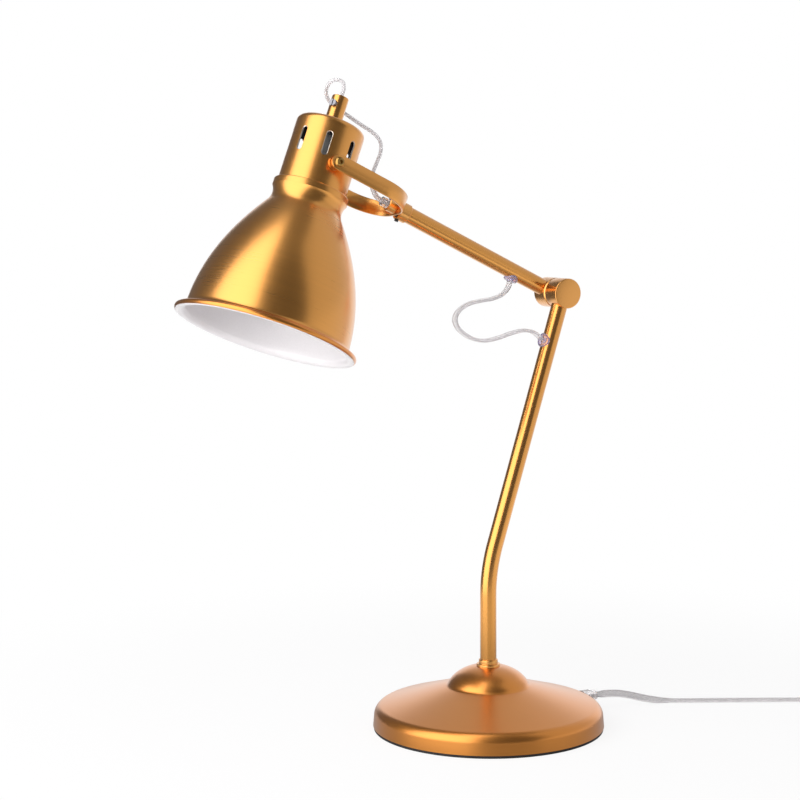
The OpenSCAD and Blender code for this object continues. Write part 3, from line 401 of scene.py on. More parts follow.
def brass(name, place=Matrix(), stretch=(6, 6, 420), tone=(0.88, 0.375, 0.055), rough=0.29, grain=0.1,
          spread=0.08):
    """Satin brass under lacquer; its fine brush marks run the way in which the stretch is small."""
    finish = Finish(name, Metallic=1.0, Coat_Weight=1.0, Coat_Roughness=0.3, Coat_IOR=1.6)
    marks = finish.noise(finish.place(place, stretch), 1.0, 4.0, 0.62)
    fine = finish.noise(finish.place(place, tuple(3.1 * s for s in stretch)), 1.0, 2.0, 0.6)
    cloud = finish.noise(finish.place(place), 22.0, 2.0)
    deep = tuple(0.9 * c for c in tone) + (1,)
    pale = (min(1.0, tone[0] * 1.06), tone[1] * 1.08, tone[2] * 1.15, 1)
    finish.set("Base Color", finish.mix(marks * 0.6 + cloud * 0.4, deep, pale))
    finish.set("Roughness", rough + spread * (marks - 0.5) + 0.05 * (cloud - 0.5))
    finish.bump(marks * 0.6 + fine * 0.4, grain, 0.00006)
    return finish.material


def drawn_brass(name, place, stretch):
    """The tubes' smoother brass, its marks drawn out along them."""
    return brass(name, place, stretch, rough=0.24, grain=0.03, spread=0.04)


def plain(name, colour, rough, metal=0.0, scale=900.0, **surface):
    """A moulded or turned finish with a faint grain."""
    finish = Finish(name, Metallic=metal, **surface)
    speck = finish.noise(finish.place(), scale)
    dark = tuple(0.9 * c for c in colour) + (1,)
    finish.set("Base Color", finish.mix(speck, dark, tuple(colour) + (1,)))
    finish.set("Roughness", rough + 0.1 * (speck - 0.5))
    finish.bump(speck, 0.15, 0.00003)
    return finish.material


def clear_plastic(name, tint, clearness, rough=0.08):
    """Clear soft plastic, which light goes through, with a faint cloud in it."""
    finish = Finish(name, Transmission_Weight=clearness, IOR=1.4)
    cloud = finish.noise(finish.place(), 160.0, 2.0)
    dark = tuple(0.95 * c for c in tint) + (1,)
    finish.set("Base Color", finish.mix(cloud, dark, tuple(tint) + (1,)))
    finish.set("Roughness", rough + 0.06 * cloud)
    return finish.material


ORANGE_TONE = (0.86, 0.3, 0.025)
PALE_TONE = (0.95, 0.42, 0.08)
SHADE_BRASS = brass("shade_brass", ON_HEAD, (8, 8, 640))
CUP_BRASS = brass("cup_brass", ON_HEAD, (8, 8, 640), grain=0.14)
TUBE_BRASS = drawn_brass("tube_brass", ON_POST, (600, 600, 9))
FOOT_BRASS = drawn_brass("foot_brass", Matrix(), (600, 600, 9))
ARM_BRASS = drawn_brass("arm_brass", ON_ARM, (9, 600, 600))
JOINT_BRASS = brass("joint_brass", AT_ELBOW, (60, 400, 60), PALE_TONE, rough=0.28, grain=0.03, spread=0.04)
YOKE_BRASS = brass("yoke_brass", ON_YOKE, (40, 40, 600), rough=0.3, grain=0.12)
BASE_BRASS = brass("base_brass", Matrix(), (10, 10, 120), ORANGE_TONE, rough=0.32, grain=0.15)
LIP_BRASS = brass("lip_brass", ON_HEAD, (5, 5, 300), ORANGE_TONE, rough=0.28, grain=0.15)
ENAMEL = plain("white_enamel", (0.8, 0.775, 0.785), 0.3, Coat_Weight=0.2)
PAD_RUBBER = plain("pad_rubber", (0.012, 0.011, 0.011), 0.6)
STEEL = plain("plated_steel", (0.3, 0.3, 0.33), 0.35, 1.0)
BLACK = plain("black_nylon", (0.015, 0.015, 0.015), 0.4)
WHITE_PLASTIC = plain("white_plastic", (0.8, 0.8, 0.78), 0.4)
YELLOW_BRASS = plain("turned_brass", (0.5, 0.29, 0.08), 0.25, 1.0)
CUP_INSIDE = plain("cup_inside", (0.15, 0.15, 0.17), 0.5)
# Pale metal for the slots' cut edges: a painted highlight.
SLOT_EDGE_HIGHLIGHT = plain("slot_edge_highlight", (0.95, 0.82, 0.7), 0.4, 1.0)
OPAL = plain("opal_glass", (0.9, 0.9, 0.88), 0.15, Coat_Weight=0.4)
DARK_STEEL = plain("dark_steel", (0.05, 0.05, 0.055), 0.4, 1.0)
CORE_METAL = plain("tinned_core", (0.78, 0.75, 0.75), 0.4, 0.6, scale=300.0)
IRON = plain("cast_iron", (0.05, 0.05, 0.05), 0.7, 0.6)
FLEX_SKIN = clear_plastic("flex_skin", (0.95, 0.93, 0.94), 0.8)
GROMMET_SKIN = clear_plastic("grommet_skin", (0.66, 0.62, 0.84), 0.8)


def dress(piece, material, slot, body, *nodes):
    """Gives a piece its material, and the body it rides on unless it bends between two; its slot is not used.
    """
    piece.data.materials.clear()
    piece.data.materials.append(material)
    if body:
        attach(piece, body)
    if nodes:
        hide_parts(*nodes)
    return piece


# ---- camera, floor and light ---------------------------------------------------------------

CAMERA_AT = Vector((-0.7145, -1.2549, 0.3960))
CAMERA_RIGHT = Vector((0.8898, -0.4564, -0.0056))
CAMERA_AHEAD = Vector((0.4533, 0.8851, -0.1057))
CAMERA_LENS = 90
SENSOR_W = 36
TO_CAMERA = -117.1
WHITE = (1, 1, 1, 1)
SKY_LEVEL = 0.55
FLOOR_R = 0.62
FLOOR_TONE = (0.9, 0.885, 0.9, 1)
FLOOR_GLOW = 0.86
NEAR_FLOOR = 0.4
TENT_R = 2.6
TENT_MID_H = 0.2

# The tent's cards: sides in degrees left of the camera's direction, edges in degrees of height, brightness.
CARDS = [("softbox_face", 88, 16, -30, 82, 2.3),
         ("dark_front_low", 16, -47, -60, 8, 0.12),
         ("dark_front", 16, -55, 8, 62, 0.12),
         ("dark_left", 158, 88, -60, 62, 0.14),
         ("grey_right_low", -47, -135, -60, 8, 0.74),
         ("grey_right", -55, -135, 8, 62, 0.6),
         ("grey_back", 225, 158, 24, 62, 0.6),
         ("dark_top", 376, 88, 62, 89.9, 0.2)]


def add_camera():
    data = bpy.data.cameras.new("camera")
    data.lens = CAMERA_LENS
    data.sensor_width = SENSOR_W
    camera = bpy.data.objects.new("camera", data)
    right = CAMERA_RIGHT.normalized()
    ahead = (CAMERA_AHEAD - CAMERA_AHEAD.dot(right) * right).normalized()
    axes = Matrix((right, right.cross(ahead), -ahead)).transposed().to_4x4()
    camera.matrix_world = Matrix.Translation(CAMERA_AT) @ axes
    bpy.context.scene.collection.objects.link(camera)
    bpy.context.scene.camera = camera


def floor_paper():
    """Paper that goes over into plain white away from the lamp, and is darker near it in reflections."""
    paper = Finish("floor_paper", Base_Color=FLOOR_TONE, Roughness=0.9, Specular_IOR_Level=0.0)
    away = paper.node("ShaderNodeVectorMath", {"operation": "LENGTH"}, [paper.place()], out="Value")
    direct = paper.seen_by("Is Camera Ray", "Is Transmission Ray")
    mirrored = paper.seen_by("Is Glossy Ray")
    far = paper.fade(away, 0.22, 0.6, FLOOR_GLOW, 1.0)
    near = paper.fade(away, 0.2, 0.4, 1 - NEAR_FLOOR, 0.0)
    glow = paper.node("ShaderNodeEmission", {}, {"Color": 1 - mirrored * near})
    lit = Value(paper, paper.surface.outputs["BSDF"])
    both = paper.node("ShaderNodeMixShader", {}, [(far * direct).math("MAXIMUM", mirrored), lit, glow])
    paper.connect(paper.tree.nodes["Material Output"].inputs["Surface"], both)
    return paper.material


def add_stage(name, vertices, faces, material):
    """A piece of the studio."""
    mesh = bpy.data.meshes.new(name)
    mesh.from_pydata(vertices, [], faces)
    mesh.materials.append(material)
    thing = bpy.data.objects.new(name, mesh)
    bpy.context.scene.collection.objects.link(thing)
    return thing


def add_floor():
    edge = [turned(5 * k, "Z") @ Vector((FLOOR_R, 0, 0)) for k in range(72)]
    add_stage("floor", edge, [tuple(range(72))], floor_paper())


def add_card(name, left, right, low, high, level, steps=14):
    """A studio card, part of a round tent, that only shows as a reflection."""
    vertices = []
    for i in range(steps + 1):
        a = math.radians(TO_CAMERA - (right + (left - right) * i / steps))
        for j in range(steps + 1):
            e = math.radians(low + (high - low) * j / steps)
            way = Vector((math.cos(a) * math.cos(e), math.sin(a) * math.cos(e), math.sin(e)))
            vertices.append(TENT_R * way + Vector((0, 0, TENT_MID_H)))
    n = steps + 1
    corners = [i * n + j for i in range(steps) for j in range(steps)]
    faces = [(k, k + n, k + n + 1, k + 1) for k in corners]
    tone = Finish(name, Base_Color=(0, 0, 0, 1), Specular_IOR_Level=0.0, Emission_Color=WHITE,
                  Emission_Strength=level)
    card = add_stage(name, vertices, faces, tone.material)
    card.visible_camera = False
    card.visible_diffuse = False
    card.visible_transmission = False
    card.visible_shadow = False


def left_of_camera(degrees, distance, height):
    a = math.radians(TO_CAMERA - degrees)
    return distance * math.cos(a), distance * math.sin(a), height


def add_lamp(name, at, aim, size, power):
    data = bpy.data.lights.new(name, "AREA")
    data.shape = "RECTANGLE"
    data.size, data.size_y = size
    data.energy = power
    lamp = bpy.data.objects.new(name, data)
    lamp.visible_glossy = False
    turn = (Vector(aim) - Vector(at)).to_track_quat("-Z", "Y")
    lamp.matrix_world = Matrix.Translation(at) @ turn.to_matrix().to_4x4()
    bpy.context.scene.collection.objects.link(lamp)


def add_world():
    """Plain white where it is seen, and a softer light on the lamp."""
    world = bpy.data.worlds.new("studio")
    bpy.context.scene.world = world
    world.use_nodes = True
    nodes = Nodes(world.node_tree)
    seen = nodes.seen_by("Is Camera Ray", "Is Glossy Ray", "Is Transmission Ray")
    back = world.node_tree.nodes["Background"]
    nodes.connect(back.inputs["Color"], WHITE)
    nodes.connect(back.inputs["Strength"], seen * (1 - SKY_LEVEL) + SKY_LEVEL)


def light_studio():
    add_world()
    for card in CARDS:
        add_card(*card)
    add_lamp("softbox", left_of_camera(44, 1.6, 0.75), (0, 0, 0.25), (1.7, 1.7), 42)


# ---- flexes --------------------------------------------------------------------------------

ELBOW_ROUTE = [(28.3, 15.5, 329.5), (27.3, 15.5, 327.2), (25.2, 14.8, 322.5), (20, 13.6, 318),
               (11.4, 12.6, 315), (0.6, 11.6, 313.7), (-10.1, 10.7, 311.8), (-19, 9.7, 307),
               (-22.5, 8.7, 301.3), (-21, 7.8, 295.4), (-15.6, 6.8, 290.1), (-8.6, 5.8, 286.5),
               (0.2, 4.8, 285.2), (10.5, 3.8, 286.8), (21.3, 2.8, 290), (31, 1.8, 291.6),
               (39, 0.9, 289.8), (44.2, 0.2, 285.5), (47.2, 0, 283.8)]
HEAD_ROUTE = [(-60.3, 15.5, 378.3), (-67.5, 15.5, 381.8), (-73.5, 15.5, 384.7), (-78, 15.5, 386.9),
              (-81.8, 17, 391), (-83.2, 19, 397.5), (-82.3, 20, 405.5), (-79.3, 19.2, 413.5),
              (-76.8, 18, 421), (-77, 18.4, 428.5), (-81.3, 21, 434.5), (-88.5, 25, 440),
              (-98, 30, 447.5), (-105.5, 33.3, 453),
              (-110.5, 33.3, 458.5), (-112.6, 31.2, 464), (-111.3, 27.7, 469.3), (-107.7, 24.3, 471.2),
              (-104, 21.8, 469.2), (-103.6, 21.5, 464.5), (-106, 21, 459), (-108, 20.5, 454.5)]
MAINS_ROUTE = [(86.5, 0, 12.5), (93, 0, 12.5), (105, 0, 12), (115, 0, 10.7), (125, 0, 8.2), (135, -0.8, 5.2),
               (145, -2.8, 2.9), (155, -6, 1.8), (165, -10.5, 1.5), (178, -17, 1.5), (193, -24.5, 1.5),
               (207, -31.5, 1.5), (220, -38.2, 1.5), (234, -45.3, 1.5), (247, -52, 1.5)]
EDGE_TURN = 78.0
COIL_AT = (310, -40)
RUN_HEADING = -27.1
COIL_TURNS = 7.3
COIL_R = 27.0
COIL_PITCH = FLEX_T + 0.7
LAYER_STEP = FLEX_W + 0.7
TWIST_STEPS = 16
TAIL_L = 40.0
PLUG_T = 13.7


def smooth(route, steps):
    """A smooth line through a route's points."""
    route = [Vector(p) for p in route]
    last = len(route) - 1
    line = []
    for i in range(last):
        a, b = route[i], route[i + 1]
        da = (b - route[max(i - 1, 0)]) / (1 if i == 0 else 2)
        db = (route[min(i + 2, last)] - a) / (1 if i == last - 1 else 2)
        for k in range(steps):
            t = k / steps
            line.append(a * (1 + 2 * t) * (1 - t) ** 2 + da * t * (1 - t) ** 2
                        + b * t * t * (3 - 2 * t) - db * t * t * (1 - t))
    return line + [route[last]]


def level_side(way, turn):
    """The flex's wide side, turned up from level about its way."""
    side = Vector((-way.y, way.x, 0)).normalized()
    return side * math.cos(math.radians(turn)) + Vector((0, 0, math.sin(math.radians(turn))))


def twin_section(sides=20):
    """The twin flex's outline: two round cores joined by a shallow web, as (across, thick)."""
    points = []
    for i in range(sides):
        a = 2 * math.pi * i / sides
        side = 1 if math.cos(a) >= 0 else -1
        x = side * (FLEX_W - FLEX_T) / 2 + FLEX_T / 2 * math.cos(a)
        waist = 0.72 + 0.28 * min(1.0, abs(x) / (0.25 * FLEX_W))
        points.append((x, FLEX_T / 2 * math.sin(a) * waist))
    return points


def core_section(middle, sides=8):
    angles = [2 * math.pi * i / sides for i in range(sides)]
    return [(middle + CORE_R * math.cos(a), CORE_R * math.sin(a)) for a in angles]


def flex_mesh(name, line, wides):
    """The flex along a line of ring middles: its clear skin and, inside, its two tinned cores."""
    half = (FLEX_W - FLEX_T) / 2
    vertices, faces, clear_faces = [], [], 0
    for section in (twin_section(), core_section(-half), core_section(half)):
        faces += skin_faces(len(line), len(section), len(vertices))
        clear_faces = clear_faces or len(faces)
        for i, middle in enumerate(line):
            way = heading(line, i)
            wide = (wides[i] - wides[i].dot(way) * way).normalized()
            thick = way.cross(wide)
            vertices += [middle + x * wide + y * thick for x, y in section]
    flex = add_mesh(name, vertices, faces, sharp=60)
    for face in flex.data.polygons:
        face.material_index = int(face.index >= clear_faces)
    return flex


def add_flex(name, line, wides, body, *nodes):
    """A flex whose first material is its skin and whose second is its cores."""
    flex = flex_mesh(name, line, wides)
    dress(flex, FLEX_SKIN, "clear_flex", body, *nodes)
    flex.data.materials.append(CORE_METAL)
    return flex


def in_metres(line):
    return [tuple(p * MM) for p in line]


def length_of(line):
    return sum((b - a).length for a, b in zip(line, line[1:])) * MM


def add_elbow_flex():
    line = smooth(ELBOW_ROUTE, 6)
    flex = add_flex("elbow_flex", line, [Vector((0, 1, 0))] * len(line), None, "elbow_cord")
    line[-1] * MM
    line[0] * MM
    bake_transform(flex)
    tuple(line[-1] * MM)
    length_of(line)
    in_metres(line)


def add_head_flex():
    """The loop from the swivel to the stem, which turns its wide side half way along."""
    line = smooth(HEAD_ROUTE, 6)
    flat, square = Vector((0, 1, 0)), Vector((0.456, 0.89, 0))
    wides = [flat.lerp(square, ramp(i, 21, 39)) for i in range(len(line))]
    flex = add_flex("head_flex", line, wides, None, "head_cord")
    line[12] * MM
    line[-1] * MM
    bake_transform(flex)
    tuple(line[0] * MM)
    length_of(line)
    in_metres(line)


def add_mains_flex():
    line, wides = mains_line()
    flex = add_flex("mains_flex", line, wides, "stand", "mains_cord", "mains_coil", "mains_tail")
    length_of(line)
    in_metres(line)


def coil_point(n):
    """A point of the coil, so many turns from its start."""
    a = math.radians(RUN_HEADING - 90 + 360 * n)
    half = COIL_TURNS / 2
    radius = COIL_R + COIL_PITCH * abs(n - half)
    height = FLEX_W / 2 + LAYER_STEP * min(max(2 * (n - half) + 0.5, 0), 1)
    return Vector((COIL_AT[0] + radius * math.cos(a), COIL_AT[1] + radius * math.sin(a), height))


def run_turn(x):
    """How far the flex stands on its edge between the gland and the floor, which it meets flat."""
    return EDGE_TURN * ramp(x, 93, 103) * (1 - ramp(x, 136, 158))


def tail_line(start, way_out):
    """From the coil's end to the plug's neck."""
    neck = Vector((start.x, start.y, PLUG_T / 2)) + TAIL_L * way_out
    rise = Vector((0, 0, 0.16 * (start.z - neck.z)))
    return smooth([start, start.lerp(neck, 0.2) + rise, start.lerp(neck, 0.8), neck], 6)


def mains_line():
    """The whole mains flex: along the floor, round the coil and on to the plug."""
    run = smooth(MAINS_ROUTE, 4)
    way_in = turned(RUN_HEADING, "Z") @ Vector((1, 0, 0))
    way_out = turned(RUN_HEADING + 360 * COIL_TURNS, "Z") @ Vector((1, 0, 0))
    twist_to = coil_point(0) - FLEX_W * way_in
    shares = [i / TWIST_STEPS for i in range(1, TWIST_STEPS + 1)]
    steps = round(48 * COIL_TURNS)
    coil = [coil_point(COIL_TURNS * i / steps) for i in range(steps + 1)]
    tail = tail_line(coil[-1] + FLEX_W * way_out, way_out)
    line = run + [run[-1].lerp(twist_to, share) for share in shares] + coil + tail
    turns = [run_turn(p.x) for p in run] + [90 * share for share in shares] + [90] * len(coil)
    turns += [90 * (1 - i / (len(tail) - 1)) for i in range(len(tail))]
    return line, [level_side(heading(line, i), turns[i]) for i in range(len(line))]


# ---- base and post -------------------------------------------------------------------------

def hump(degrees):
    a = math.radians(degrees)
    return HUMP_R * math.cos(a), HUMP_H + HUMP_RISE * math.sin(a)


def base_outline():
    """The base's outside, from the pad's edge up to the post's hole."""
    lean, slope = math.tan(math.radians(SIDE_LEAN)), math.tan(math.radians(TOP_SLOPE))
    foot = (BASE_R, PAD_T)
    rim = (BASE_R - (RIM_H - PAD_T) * lean, RIM_H)
    peak = rim[1] + rim[0] * slope
    across = math.hypot(HUMP_RISE, HUMP_R * slope)
    meet = math.degrees(math.asin((peak - HUMP_H) / across) - math.atan2(HUMP_R * slope, HUMP_RISE))
    past = meet + 8
    crown = math.degrees(math.acos(CROWN_R / HUMP_R))
    outside = [foot]
    outside += rounded(foot, rim, hump(meet), SHOULDER_R, 16)
    outside += rounded(rim, hump(meet), hump(past), HUMP_FOOT_R, 10)
    outside += [hump(past + (crown - past) * i / 28) for i in range(29)]
    return outside + [(POST_HOLE_R, outside[-1][1])]


BASE_OUTSIDE = base_outline()
CROWN_H = BASE_OUTSIDE[-1][1]


def add_base():
    inside = [(BASE_R - BASE_WALL, PAD_T)] + beside(BASE_OUTSIDE, BASE_WALL)[1:-1]
    inside.append((POST_HOLE_R, CROWN_H - BASE_WALL))
    shell = lathe("base_shell_finish", BASE_OUTSIDE + inside[::-1], segments=192)
    dress(shell, BASE_BRASS, "brushed_brass", "stand", "base_shell")


def add_collar():
    """The stepped collar round the post's foot."""
    step, top = CROWN_H + COLLAR_FOOT_H, CROWN_H + COLLAR_H
    outline = [(COLLAR_BORE_R, CROWN_H), (COLLAR_R, CROWN_H)]
    outline += rounded((COLLAR_R, CROWN_H), (COLLAR_R, step), (COLLAR_NECK_R, step), 0.6, 5)
    outline.append((COLLAR_NECK_R, step))
    outline += rounded((COLLAR_NECK_R, step), (COLLAR_NECK_R, top), (COLLAR_BORE_R, top), 0.7, 5)
    outline.append((COLLAR_BORE_R, top))
    dress(lathe("post_collar_finish", outline), JOINT_BRASS, "brushed_brass", "stand", "post_collar")


def add_post():
    """Straight foot, bend and leaning run; the foot's marks run upright."""
    line = [Vector((0, 0, CROWN_H + 2))]
    for i in range(25):
        a = math.radians(POST_LEAN * i / 24)
        line.append(Vector((POST_BEND_R * (1 - math.cos(a)), 0, POST_STRAIGHT_H + POST_BEND_R * math.sin(a))))
    line.append(ON_POST @ Vector((0, 0, TUBE_SINK - DRUM_R)))
    post = tube_along("post_tube_finish", line, TUBE_R)
    dress(post, TUBE_BRASS, "brushed_brass", "stand", "post_tube")
    post.data.materials.append(FOOT_BRASS)
    for face in post.data.polygons:
        face.material_index = int(face.center.z < POST_STRAIGHT_H * MM)


def drum_outline(start, stop):
    b = DRUM_EDGE
    bottom = [(0, start), (DRUM_R - b, start)] + arc((DRUM_R - b, start + b), b, -90, 0, 4)
    return bottom + arc((DRUM_R - b, stop - b), b, 0, 90, 4) + [(0, stop)]


def add_elbow():
    outline = drum_outline(-DRUM_W / 2, DRUM_W / 2 - DRUM_SEAM)
    front = lathe("elbow_front_finish", outline, AT_ELBOW @ ALONG_Y)
    dress(front, JOINT_BRASS, "brushed_brass", "stand", "elbow_front")
    dress(smooth_copy("elbow_back"), JOINT_BRASS, "brushed_brass", "arm", "elbow_back")


# ---- arm and yoke --------------------------------------------------------------------------

def add_arm():
    tube_end = FERRULE_END - FERRULE_L / 2
    line = [ON_ARM @ Vector((-x, 0, 0)) for x in (DRUM_R - TUBE_SINK, ARM_LEN / 2, tube_end)]
    dress(tube_along("arm_tube_finish", line, TUBE_R), ARM_BRASS, "brushed_brass", "arm", "arm_tube")
    start, edge = FERRULE_END - FERRULE_L, FERRULE_EDGE
    outline = [(FERRULE_BORE_R, start), (FERRULE_R - edge, start), (FERRULE_R, start + edge),
               (FERRULE_R, FERRULE_END - edge), (FERRULE_R - edge, FERRULE_END),
               (FERRULE_BORE_R, FERRULE_END)]
    ferrule = lathe("ferrule_finish", outline, ON_ARM @ ALONG_MINUS_X)
    dress(ferrule, JOINT_BRASS, "brushed_brass", "arm", "swivel_ferrule")


def yoke_line():
    """The strap's middle line: out from one tip, round the bend and back."""
    flat = YOKE_HALF_W - YOKE_BEND_R
    tip = -YOKE_REACH - STRAP_W / 2
    leg = [(tip + d, -YOKE_HALF_W) for d in (0.02, 0.15, 0.5, 1, 1.8, 2.8, 4, 5.5)]
    leg += [(-YOKE_REACH + d, -YOKE_HALF_W) for d in (8, 20, 32)]
    leg += arc((-YOKE_BEND_R, -flat), YOKE_BEND_R, -90, 0, 24)
    return leg + [(x, -y) for x, y in leg[::-1]]


def strap_section(reach):
    """The strap's section so far from its tip, narrower where the tip is round."""
    h, t = STRAP_W / 2, STRAP_T / 2
    wide = math.sqrt(h * h - (h - reach) ** 2) if reach < h else h
    e = min(STRAP_EDGE, wide * 0.5)
    return [(-t, -wide + e), (-t + e, -wide), (t - e, -wide), (t, -wide + e),
            (t, wide - e), (t - e, wide), (-t + e, wide), (-t, wide - e)]


def add_yoke():
    """The strap, as rings along its U: round at the tips, with soft edges."""
    line = yoke_line()
    vertices = []
    for i, (x, y) in enumerate(line):
        a, b = Vector(line[max(i - 1, 0)]), Vector(line[min(i + 1, len(line) - 1)])
        way = (b - a).normalized()
        section = strap_section(x + YOKE_REACH + STRAP_W / 2)
        vertices += [(x + o * way.y, y - o * way.x, z) for o, z in section]
    strap = add_mesh("yoke_finish", vertices, skin_faces(len(line), 8), ON_YOKE, sharp=50)
    dress(strap, YOKE_BRASS, "brushed_brass", "yoke", "yoke_strap")


# ---- head ----------------------------------------------------------------------------------

def add_slot_cutter():
    """A round-ended prism through the cup's wall at +X, flared where it leaves the wall."""
    half = SLOT_STRAIGHT_L / 2
    shape = arc((half, 0), SLOT_R, -90, 90, 12) + arc((-half, 0), SLOT_R, 90, 270, 12)
    wider = beside(shape + shape[:1], -1)[:-1]
    levels = ((CUP_R - 3, shape), (CUP_R - SLOT_CHAMFER, shape), (CUP_R - SLOT_CHAMFER + 1, wider))
    vertices = [(x, y, z + SLOT_MID_H) for x, outline in levels for z, y in outline]
    return add_mesh("slot_cutter", vertices, skin_faces(len(levels), len(shape)))


def slot_ring():
    """Cuts the cutter's shape out of the cup in even steps round Z."""
    tree = bpy.data.node_groups.new("slot_ring", "GeometryNodeTree")
    sockets = [("Cup", "NodeSocketGeometry"), ("Cutter", "NodeSocketObject"), ("Slots", "NodeSocketInt"),
               ("Step", "NodeSocketFloat"), ("Finish", "NodeSocketMaterial")]
    for name, kind in sockets:
        tree.interface.new_socket(name, in_out="INPUT", socket_type=kind)
    tree.interface.new_socket("Cup", in_out="OUTPUT", socket_type="NodeSocketGeometry")
    nodes = Nodes(tree)
    cup, cutter, slots, step, finish = (nodes.node("NodeGroupInput", out=name) for name, _ in sockets)
    shape = nodes.node("GeometryNodeObjectInfo", {}, {"Object": cutter}, out="Geometry")
    points = nodes.node("GeometryNodeMeshLine", {}, {"Count": slots, "Offset": (0, 0, 0)})
    turn = nodes.node("ShaderNodeCombineXYZ", {}, {"Z": (nodes.node("GeometryNodeInputIndex") + 0.5) * step})
    ring = nodes.node("GeometryNodeInstanceOnPoints", {}, {
        "Points": points, "Instance": shape, "Rotation": turn})
    cutters = nodes.node("GeometryNodeRealizeInstances", {}, [ring])
    cut = nodes.node("GeometryNodeMeshBoolean", {"operation": "DIFFERENCE", "solver": "EXACT"},
                     [cup, cutters])
    whole = nodes.node("GeometryNodeRealizeInstances", {}, [cut])
    finished = nodes.node("GeometryNodeSetMaterial", {}, {"Geometry": whole, "Material": finish})
    nodes.node("NodeGroupOutput", {}, [finished])
    return tree


def cut_slots(cup):
    cutter = add_slot_cutter()
    ring = cup.modifiers.new("slots", "NODES")
    ring.node_group = slot_ring()
    sizes = {"Cutter": cutter, "Slots": SLOT_COUNT, "Step": 2 * math.pi / SLOT_COUNT, "Finish": CUP_BRASS}
    for item in ring.node_group.interface.items_tree:
        if item.in_out == "INPUT" and item.name in sizes:
            ring[item.identifier] = sizes[item.name]
    settle(cup)
    bpy.data.objects.remove(cutter)


def put_on_head(piece, sharp):
    """Moves a mesh made in the head's own layout to its place."""
    place = Matrix.Translation(ON_HEAD.to_translation() * MM) @ ON_HEAD.to_3x3().to_4x4()
    piece.data.transform(place)
    piece.data.set_sharp_from_angle(angle=math.radians(sharp))


def tint_cup(cup):
    """Grey inside, and a painted highlight in pale metal on the cut edges round the slots."""
    cup.data.materials.append(CUP_INSIDE)
    cup.data.materials.append(SLOT_EDGE_HIGHLIGHT)
    into = ON_HEAD.inverted()
    spin = into.to_3x3()
    slot_end = SLOT_STRAIGHT_L / 2 + SLOT_R + 1
    for face in cup.data.polygons:
        c = into @ (face.center / MM)
        n = spin @ face.normal
        r = math.hypot(c.x, c.y)
        outward = (c.x * n.x + c.y * n.y) / max(r, 1e-6)
        in_wall = CUP_R - CUP_WALL - 0.05 < r < CUP_R + 0.05
        in_slot = in_wall and abs(c.z - SLOT_MID_H) < slot_end and abs(outward) < 0.85
        inside = outward < -0.5 or (n.z < -0.5 and c.z > LEDGE + 1)
        # Index 2 paints a highlight on the slots' cut edges.
        face.material_index = 2 if in_slot else 1 if inside else 0


def add_cup():
    corner = (CUP_R - CUP_EDGE_R, CUP_TOP - CUP_EDGE_R)
    bore = TUBE_R - TUBE_WALL + 0.05
    outline = [(CUP_R, LEDGE + 6 * i) for i in range(8)]
    outline += arc(corner, CUP_EDGE_R, 0, 90, 20)
    outline += [(bore, CUP_TOP), (bore, CUP_TOP - CUP_WALL)]
    outline += arc(corner, CUP_EDGE_R - CUP_WALL, 90, 0, 12) + [(CUP_R - CUP_WALL, LEDGE)]
    cup = lathe("cup_finish", outline, segments=160)
    cut_slots(cup)
    put_on_head(cup, sharp=30)
    dress(cup, CUP_BRASS, "brushed_brass", "head", "cup")
    tint_cup(cup)


def add_stem():
    bore, end = TUBE_R - TUBE_WALL, CUP_TOP + STEM_L
    outline = [(bore, CUP_TOP), (TUBE_R, CUP_TOP), (TUBE_R, end - 0.4), (TUBE_R - 0.3, end),
               (bore + 0.2, end), (bore, end - 0.3)]
    dress(lathe("stem_finish", outline, ON_HEAD), ARM_BRASS, "brushed_brass", "head", "stem_tube")


def bell_line():
    """The bell's outside from under the neck to the mouth: round the waist, then one long curve."""
    turn, lean = math.radians(WAIST_TURN), math.radians(BELL_LEAN)
    start = math.degrees(math.asin((WAIST_DROP - NECK_DROP) / WAIST_R))
    top = Vector(WAIST_AT) - WAIST_R * Vector((math.cos(turn), math.sin(turn)))
    mouth = Vector((BELL_MOUTH_R, LIP_T + FLARE_R - SHADE_DEPTH))
    pull_top = top + BELL_PULL_TOP * Vector((math.sin(turn), -math.cos(turn)))
    pull_mouth = mouth + BELL_PULL_MOUTH * Vector((-math.sin(lean), math.cos(lean)))
    waist = arc(WAIST_AT, WAIST_R, 180 - start, 180 + WAIST_TURN, WAIST_STEPS)
    return waist + bezier(top, pull_top, pull_mouth, mouth, 40)[1:]


def shade_outside(bell):
    """Neck ring, bell, flare and the rolled lip as far as the white starts."""
    ring_top = LEDGE + NECK_H
    mouth = bell[-1]
    outside = [(NECK_BORE_R, ring_top)]
    outside += rounded((NECK_BORE_R, ring_top), (NECK_R, ring_top), (NECK_R, LEDGE), 0.8, 6)
    outside += [(NECK_R, LEDGE - NECK_DROP)] + bell
    outside += arc((mouth[0] + FLARE_R, mouth[1]), FLARE_R, 190, 270, 10)
    outside += arc((LIP_R - LIP_T / 2, LIP_T / 2 - SHADE_DEPTH), LIP_T / 2, 90, -60, 10)
    return outside


def shade_inside(bell):
    """The enamelled side, from under the lip up to the shelf that the holder clamps."""
    shelf = math.degrees(math.asin((WAIST_DROP - SHELF_T) / (WAIST_R + SHADE_WALL)))
    wall = arc(WAIST_AT, WAIST_R + SHADE_WALL, 180 - shelf, 180 + WAIST_TURN, 12)
    wall += beside(bell, -SHADE_WALL)[WAIST_STEPS + 1:]
    under = FLARE_R + SHADE_WALL
    inside = arc((LIP_R - LIP_T / 2, LIP_T / 2 - SHADE_DEPTH), LIP_T / 2, -75, -90, 2)
    inside += arc((wall[-1][0] + under, under - SHADE_DEPTH), under, 270, 190, 10)
    inside += wall[::-1]
    return inside + [(SHELF_HOLE_R, LEDGE - SHELF_T), (SHELF_HOLE_R, LEDGE), (NECK_BORE_R, LEDGE)]


